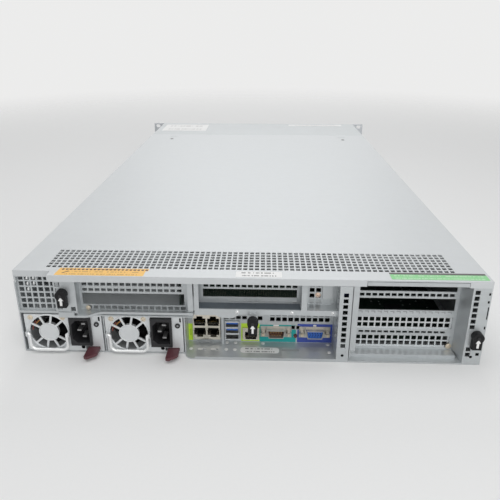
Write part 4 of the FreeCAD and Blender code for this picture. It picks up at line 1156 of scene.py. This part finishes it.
    def frame_film(self, name: str, box: tuple[float, ...], tone: Tone,
                   gaps: tuple[tuple[float, ...], ...]) -> None:
        """Film made of the cells between its own and its gaps' edges, less the gaps.

        Args:
            name: name of the piece.
            box: least and greatest x, then least and greatest z.
            tone: its finish.
            gaps: the same four values for each gap.
        """
        edges = [sorted({value for row in (box, *gaps) for value in row[first:first + 2]})
                 for first in (0, 2)]
        cells = [(*xs, *zs) for xs in zip(edges[0], edges[0][1:])
                 for zs in zip(edges[1], edges[1][1:])]
        made = [block(x0, x1, IO_D - 0.14, IO_D - 0.02, z0, z1) for x0, x1, z0, z1 in cells
                if not any(gap[0] <= x0 and x1 <= gap[1] and gap[2] <= z0 and z1 <= gap[3]
                           for gap in gaps)]
        self.builder.piece(name, made, tone)

    def films(self) -> None:
        """Coloured films around the ports, each a frame of strips that leaves them free."""
        self.frame_film("film_teal", (11.0, 47.2, 1.6, 21.4), Tone.TEAL,
                        ((17.7, 37.1, 8.3, 19.7), (42.4, 47.2, 16.2, 21.1),
                         (44.9, 47.2, 7.2, 11.4)))
        self.frame_film("film_violet", (48.6, 83.2, 1.6, 23.0), Tone.VIOLET,
                        ((55.9, 75.3, 8.3, 19.7), (48.6, 51.2, 16.2, 21.1)))
        self.frame_film("film_lime", (-7.4, 11.0, 2.0, 22.6), Tone.LIME_PLAIN,
                        ((-6.0, 10.8, 4.4, 18.4),))
        self.sticker("film_lime_side", rounded(4.6, 19.5, 0.4), (-58.2, IO_D, 11.5),
                     Facing.REAR, Tone.LIME)
        for name, outline, x, z in (("teal", rounded(5.6, 1.6, 0.5), 27.4, 20.6),
                                    ("violet", rounded(3.2, 1.9, 0.4), 65.6, 21.3)):
            self.sticker(f"film_{name}_mark", outline, (x, IO_D - 0.14, z), Facing.REAR,
                         Tone.ARROW, thick=MARK)

    def build(self) -> None:
        """Makes every piece of the port wall."""
        self.network()
        self.serial_bus()
        self.shell_insert("serial_port", Tone.RUST, True)
        self.shell_insert("vga_port", Tone.BLUE, False)
        self.films()


@dataclass
class TrayDress(Assembly):
    """Marks, holes and films on the tray floor behind the ports."""

    clip_d: float = 22.0
    clip_rise: float = 2.4

    def build(self) -> None:
        """Makes every piece of the tray floor; the clip is a bar bent up as a sine hump."""
        dimple = np.array(((2.0, 0.0), (1.7, 0.35), (1.1, 0.42), (0.02, 0.42)))
        spots = ((-21.5, 14.0), (-13.0, 14.0), (-21.5, 25.0), (-13.0, 25.0), (-56.3, 14.5),
                 (14.4, 24.6), (79.0, 12.0), (79.0, 24.0))
        made = [turned(dimple, at(x, d, SHEET), Facing.TOP, 20) for x, d in spots]
        self.builder.piece("floor_dimples", made, Tone.IVORY, smooth=True)
        slot = rounded(5.4, 2.8, 1.3)
        rows = (
            ("film_floor", rounded(38, 8.4, 3.2), 11.4, 13.6, Tone.WHITE, 0.05),
            ("mark_floor", rounded(17, 3.0, 0.6), 41.4, 14.4, Tone.GREY, MARK),
            ("floor_slot_0", slot, -47.0, 14.0, Tone.IVORY, 0.05),
            ("floor_slot_1", slot, -34.2, 14.0, Tone.IVORY, 0.05),
        )
        for name, outline, x, d, tone, thick in rows:
            self.sticker(name, outline, (x, d, SHEET), Facing.TOP, tone, thick=thick)
        hump = np.sin(np.linspace(0, math.pi, 24)) ** 0.6
        clip = at(np.linspace(-49.0, -35.0, 24), self.clip_d, 2.0 + self.clip_rise * hump)
        self.builder.piece("floor_clip", hose(clip, 0.5, 10), Tone.GREY, smooth=True)
        for index, (x, d) in enumerate(((-206, 60), (-206, 300), (206, 60), (206, 300),
                                        (0, 355), (-100, 500), (100, 500))):
            self.screw(f"floor_screw_{index}", (x, d, SHEET), 2.6, facing=Facing.TOP,
                       height=0.9)


@dataclass
class RiserDress(Assembly):
    """Arrows, lugs, screws, hooks and painted shade of holes, notches and a shelf of the three
    riser cages.
    """

    hooks: int = 15
    hook_pitch: float = 6.0
    hook_x: float = 149.0
    hook_z: float = 12.8 + 1.5 * SLOT_PITCH

    def arrows(self) -> None:
        """White arrow on each release lever."""
        arrow = np.array(((-1.0, -4.6), (1.0, -4.6), (1.0, 0.6), (2.4, 0.6), (0.0, 4.6),
                          (-2.4, 0.6), (-1.0, 0.6)))
        lug = np.array(((1.6, 0.0), (1.6, 0.5), (0.02, 0.7)))
        for side in ("left", "middle", "right"):
            body = f"riser_lever_{side}"
            x, d, z = rear_middle(body)
            top = span(body)[1][2]
            self.sticker(f"{body}_arrow", arrow, (x, d + 0.8, z - 1.6), Facing.REAR, Tone.ARROW,
                         body, 0.9)
            self.builder.piece(f"{body}_lug", turned(lug, at(x, d, top - 5.2), Facing.REAR, 20),
                               Tone.SOCKET, body)

    def screws(self) -> None:
        """Screws on ledges, posts and meshes."""
        rows = (
            ("a_ledge", (-153.0, 12.6, 47.0), 1.7, Tone.BRASS),
            ("mesh_copper", (65.7, 17.0, 62.1), 1.9, Tone.COPPER),
            ("c_left", (99.4, 17.0, 7.6), 2.1, Tone.ZINC),
            ("c_right", (194.6, 17.0, 7.6), 2.3, Tone.BRASS),
            ("b_shelf_left", (-10.0, 5.4, 49.4), 1.2, Tone.ZINC),
            ("b_shelf_right", (41.0, 5.4, 49.4), 1.2, Tone.ZINC),
            ("b_post", (79.0, 5.4, 49.8), 1.0, Tone.ZINC),
        )
        for name, spot, radius, tone in rows:
            self.screw(f"riser_screw_{name}", spot, radius, tone, height=0.8)

    def holes(self) -> None:
        """Dark marks of painted shade for the round holes in the feet of the posts and the
        notches at the right one.
        """
        # Painted shade: dark discs where the post feet have holes.
        for index, spot in enumerate(((89.3, 0.0, 7.4), (209.0, 0.0, 8.6))):
            self.sticker(f"post_hole_shade_{index}", ring_outline(1.4, 24), spot, Facing.REAR,
                         Tone.HOLE_SHADE, thick=MARK)
        notches = ((216.5, 75.6, 1.7, 2.4), (216.5, 67.5, 1.7, 2.4), (217.3, 56.0, 1.0, 13.0),
                   (217.0, 40.5, 1.3, 3.0), (214.6, 11.6, 3.2, 3.0))
        # Painted shade: dark marks where the right post has notches.
        made = [plate(rounded(w, h, 0.3), at(x, -0.02, z), Facing.REAR, MARK)
                for x, z, w, h in notches]
        self.builder.piece("post_notch_shade", made, Tone.HOLE_SHADE)

    def shelves(self) -> None:
        """Dark sheet of painted shade on the middle shelf, and the row of pressed hooks of the
        right cage.
        """
        # Painted shade: a dark sheet on the shelf ledge, which is only shadowed.
        shelf = block(-48.4, 49.0, 6.6, 16.8, 52.22, 52.3)
        self.builder.piece("middle_shelf_shade", shelf, Tone.SHELF_SHADE)
        hook = []
        for k in range(self.hooks):
            x = self.hook_x + (k - (self.hooks - 1) // 2) * self.hook_pitch
            for left, low, high in ((-1.9, 2.0, 2.7), (1.2, 0.4, 2.0)):
                hook.append(block(x + left, x + 1.9, 16.75, 17.0, self.hook_z + low,
                                  self.hook_z + high))
        self.builder.piece("pressed_hooks", hook, Tone.GREY)

    def build(self) -> None:
        """Makes every piece of the cages."""
        self.arrows()
        self.screws()
        self.holes()
        self.shelves()


@dataclass
class BoardDress(Assembly):
    """Chips, capacitors and small parts of the main board."""

    seed: int = 7
    top: float = 4.4
    share: float = 0.35

    def build(self) -> None:
        """Makes every piece of the board."""
        top = self.top
        random = np.random.default_rng(self.seed)
        chips = [block(x, x + w, d, d + w, top, top + 1.4) for x, d, w in
                 ((-40, 62, 22), (-6, 70, 12), (30, 55, 9), (60, 80, 27), (110, 60, 14),
                  (150, 75, 18), (185, 50, 9), (-45, 120, 12), (150, 120, 10))]
        self.builder.piece("board_chips", chips, Tone.CHIP, bevel=0.2)
        can = np.array(((2.9, 0.0), (2.9, 0.6), (2.6, 0.9), (2.9, 1.2), (2.9, 8.0), (2.6, 8.3),
                        (0.02, 8.2)))
        spots = [(x, d) for x in (-20, -12, -4, 4, 90, 98, 106, 114) for d in (104, 112)]
        jitter = random.uniform(-0.4, 0.4, (len(spots), 2))
        cans = [turned(can, at(x, d, top), Facing.TOP, 16) for x, d in spots + jitter]
        self.builder.piece("board_capacitors", cans, Tone.CAPACITOR)
        grid_x, grid_d = (part.ravel() for part in np.meshgrid(np.arange(-50, 205, 8.5),
                                                               np.arange(36, 180, 6.5)))
        keep = random.random(grid_x.size) < self.share
        low = at(grid_x[keep], grid_d[keep] + random.uniform(-1.5, 1.5, keep.sum()), top)
        self.builder.piece("board_small_parts", blocks(low, low + np.array((1.6, 0.8, 0.6)) * MM),
                           Tone.GREY)


@dataclass
class FrontDress(Assembly):
    """Fins, lamps and release keys of the drive carriers and of the control panel."""

    bays: int = 8
    fins: int = 13
    fin_pitch: float = 4.4
    fin_x: float = 14.0
    fin_z: float = 4.0
    fin_half: float = 2.6
    key_x: float = 7.0
    lamp_z: float = 5.0
    sign_radius: float = 1.1
    sign_wire: float = 0.12

    def carrier(self, number: int) -> None:
        """Fins and lamps of one drive carrier.

        Args:
            number: number of the bay.
        """
        body, lever = f"carrier_{number}", f"carrier_lever_{number}"
        low, high = span(lever)
        d, mid = high[1], (low[2] + high[2]) / 2
        fins = [block(x, x + 1.1, d - 3.6, d - 0.4, z - self.fin_half, z + self.fin_half)
                for z in (mid - self.fin_z, mid + self.fin_z)
                for x in low[0] + self.fin_x + self.fin_pitch * np.arange(self.fins)]
        self.builder.piece(f"{lever}_fins", fins, Tone.BEZEL, lever)
        self.sticker(f"{lever}_key", rounded(9.0, 13.0, 2.0), (high[0] - self.key_x, d, mid),
                     Facing.FRONT, Tone.MAROON, lever, 0.5)
        high = span(body)[1]
        for index, (side, tone) in enumerate(((1, Tone.LAMP_BLUE), (-1, Tone.LAMP_AMBER))):
            spot = (high[0] - self.key_x, high[1], mid + side * self.lamp_z)
            self.sticker(f"{body}_lamp_{index}", rounded(2.2, 4.4, 0.9), spot, Facing.FRONT,
                         tone, body, 0.2)

    def panel(self) -> None:
        """Lamps and button marks of the control panel on the ear."""
        body = "power_button"
        x, _, z = rear_middle(body)
        top = span(body)[1][1]
        for index, tone in enumerate((Tone.LAMP_GREEN, Tone.LAMP_AMBER, Tone.LAMP_BLUE)):
            self.sticker(f"panel_lamp_{index}", ring_outline(1.0, 20),
                         (x, 5.0 + FRONT_D, 24.0 + 6.0 * index), Facing.FRONT, tone, thick=0.25)
        turns = np.radians(np.linspace(120, 420, 24))
        ring = at(x + self.sign_radius * np.cos(turns), top,
                  z + self.sign_radius * np.sin(turns))
        bar = block(x - self.sign_wire, x + self.sign_wire, top, top + 0.1, z + 0.3, z + 1.5)
        self.builder.piece("power_sign_ring", hose(ring, self.sign_wire, 6), Tone.ARROW, body)
        self.builder.piece("power_sign_bar", bar, Tone.ARROW, body)

    def build(self) -> None:
        """Makes every piece of the front."""
        for number in range(1, self.bays + 1):
            self.carrier(number)
        self.panel()


@dataclass
class SideDress(Assembly):
    """Rivets of the side walls."""

    inset: float = 0.1

    def build(self) -> None:
        """Makes every piece of the sides."""
        dome = np.array(((2.2, 0.0), (2.1, 0.06), (1.2, 0.09), (0.02, 0.1)))
        for facing, sign in ((Facing.RIGHT, 1), (Facing.LEFT, -1)):
            rivets = [turned(dome, at(sign * (HALF_W - self.inset), d, z), facing, 20)
                      for d in (90, 180, 270, 372, 460, 540, 620, 700) for z in (8.0, 68.0)]
            self.builder.piece(f"side_rivets_{facing.name.lower()}", rivets, Tone.GALVANISED,
                               smooth=True)


# --- Studio ---------------------------------------------------------------------------------
@dataclass
class Studio:
    """Camera, soft lamps, pale floor and a near-white surround."""

    lens: float = 34.42
    rise: float = -0.12
    place: Spot = (0.0128, -0.7408, 0.3014)
    pitch: float = -18.86
    yaw: float = 1.62
    roll: float = 0.06
    seen: tuple[float, ...] = (0.84, 0.84, 0.836, 1.0)
    glow: tuple[float, ...] = (0.97, 0.985, 1.0, 1.0)
    glow_power: float = 0.30
    paper_colour: Colour = (0.86, 0.86, 0.855)
    fade_start: float = 0.55
    fade_end: float = 1.9

    def camera(self) -> None:
        """Stands behind the object and looks down its length."""
        data = bpy.data.cameras.new("camera")
        data.lens = self.lens
        data.sensor_width = 36.0
        data.shift_y = self.rise
        data.clip_start = 0.01
        data.clip_end = 50.0
        camera = bpy.data.objects.new("camera", data)
        bpy.context.scene.collection.objects.link(camera)
        pitch, yaw, roll = (math.radians(v) for v in (self.pitch, self.yaw, self.roll))
        turn = (Matrix.Rotation(yaw, 4, "Z") @ Matrix.Rotation(math.pi / 2 + pitch, 4, "X")
                @ Matrix.Rotation(roll, 4, "Z"))
        camera.matrix_world = Matrix.Translation(self.place) @ turn
        bpy.context.scene.camera = camera

    def lamp(self, name: str, spot: Spot, aim: Spot, size: float, power: float) -> None:
        """One square soft lamp.

        Args:
            name: name of the lamp.
            spot: its place in metres.
            aim: point that it looks at.
            size: side length in metres.
            power: output in watts.
        """
        data = bpy.data.lights.new(name, "AREA")
        data.energy = power
        data.size = size
        lamp = bpy.data.objects.new(name, data)
        lamp.location = spot
        aim_way = Vector(aim) - Vector(spot)
        lamp.rotation_euler = aim_way.to_track_quat("-Z", "Y").to_euler()
        bpy.context.scene.collection.objects.link(lamp)

    def floor(self) -> None:
        """Flat disc of pale paper that thins out to the surround with distance."""
        sides, drop, hub = 48, 2e-4, 1e-3
        points = np.vstack([np.pad(ring_outline(radius + hub, sides), ((0, 0), (0, 1)))
                            for radius in (0.0, 0.6, 1.2, 2.0, 3.2)])
        grid = np.arange(len(points)).reshape(-1, sides)
        near, far = grid[:-1], grid[1:]
        quads = np.stack((near, far, np.roll(far, -1, 1), np.roll(near, -1, 1)), -1)
        mesh = bpy.data.meshes.new("studio_floor")
        mesh.from_pydata((points - (0, 0, drop)).tolist(), [],
                         quads.reshape(-1, 4).tolist() + [grid[0].tolist()])
        mesh.materials.append(self.paper())
        floor = bpy.data.objects.new("studio_floor", mesh)
        bpy.context.scene.collection.objects.link(floor)

    def paper(self) -> bpy.types.Material:
        """Matt paper whose cover fades from full near the object to none far away.

        Returns:
            The material.
        """
        graph = NodeGraph("studio_paper")
        coords = graph.add("ShaderNodeTexCoord", {}).outputs["Object"]
        length = graph.add("ShaderNodeVectorMath", {0: coords}, operation="LENGTH")
        fade = graph.add("ShaderNodeMapRange", {0: length.outputs["Value"], 1: self.fade_start,
                                                2: self.fade_end},
                         interpolation_type="SMOOTHSTEP")
        fibre = graph.noise(400.0)
        tint = graph.tint(self.paper_colour, graph.weigh(1.0, (fibre, 0.02)))
        matt = graph.add("ShaderNodeBsdfDiffuse", {"Color": tint})
        clear = graph.add("ShaderNodeBsdfTransparent", {})
        mixed = graph.add("ShaderNodeMixShader", {0: fade.outputs[0], 1: matt.outputs[0],
                                                  2: clear.outputs[0]})
        graph.add("ShaderNodeOutputMaterial", {"Surface": mixed.outputs[0]})
        return graph.owner

    def surround(self) -> None:
        """World that is near white when seen or mirrored and a softer grey as a light."""
        graph = NodeGraph("surround", bpy.data.worlds)
        bpy.context.scene.world = graph.owner
        rays = graph.add("ShaderNodeLightPath", {}).outputs
        shown = rays["Is Camera Ray"]
        for kind in ("Is Glossy Ray", "Is Transmission Ray"):
            shown = graph.math("MAXIMUM", shown, rays[kind])
        seen, light = (graph.add("ShaderNodeBackground", {"Color": colour, "Strength": strength})
                       for colour, strength in ((self.seen, 1.0), (self.glow, self.glow_power)))
        mixed = graph.add("ShaderNodeMixShader", {0: shown, 1: light.outputs[0],
                                                  2: seen.outputs[0]})
        graph.add("ShaderNodeOutputWorld", {"Surface": mixed.outputs[0]})

    def build(self) -> None:
        """Makes the whole studio."""
        self.camera()
        self.lamp("lamp_top", (-0.2, -0.3, 1.9), (0.0, 0.0, 0.0), 1.8, 18.8)
        self.lamp("lamp_rear", (0.6, -1.5, 0.65), (0.0, -0.3, 0.05), 1.6, 10.0)
        self.lamp("lamp_front", (0.0, 1.6, 1.3), (0.0, 0.2, 0.05), 1.4, 6.8)
        self.floor()
        self.surround()
        bpy.context.scene.view_settings.view_transform = "Standard"


def main() -> None:
    """Builds the studio, the finishes and every group of fine pieces."""
    logging.basicConfig(level=logging.INFO)
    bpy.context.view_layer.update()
    Studio().build()
    palette = Palette()
    palette.dress()
    builder = Builder(palette)
    groups: list[Assembly] = [CoverDress(builder)]
    groups += [PowerSupplyDress(builder, number=number) for number in (1, 2)]
    groups += [PortDress(builder), TrayDress(builder), RiserDress(builder), BoardDress(builder),
               FrontDress(builder), SideDress(builder)]
    for group in groups:
        group.build()
        LOG.info("%s done, %d pieces so far", type(group).__name__, builder.count)


if __name__ == "__main__":
    main()
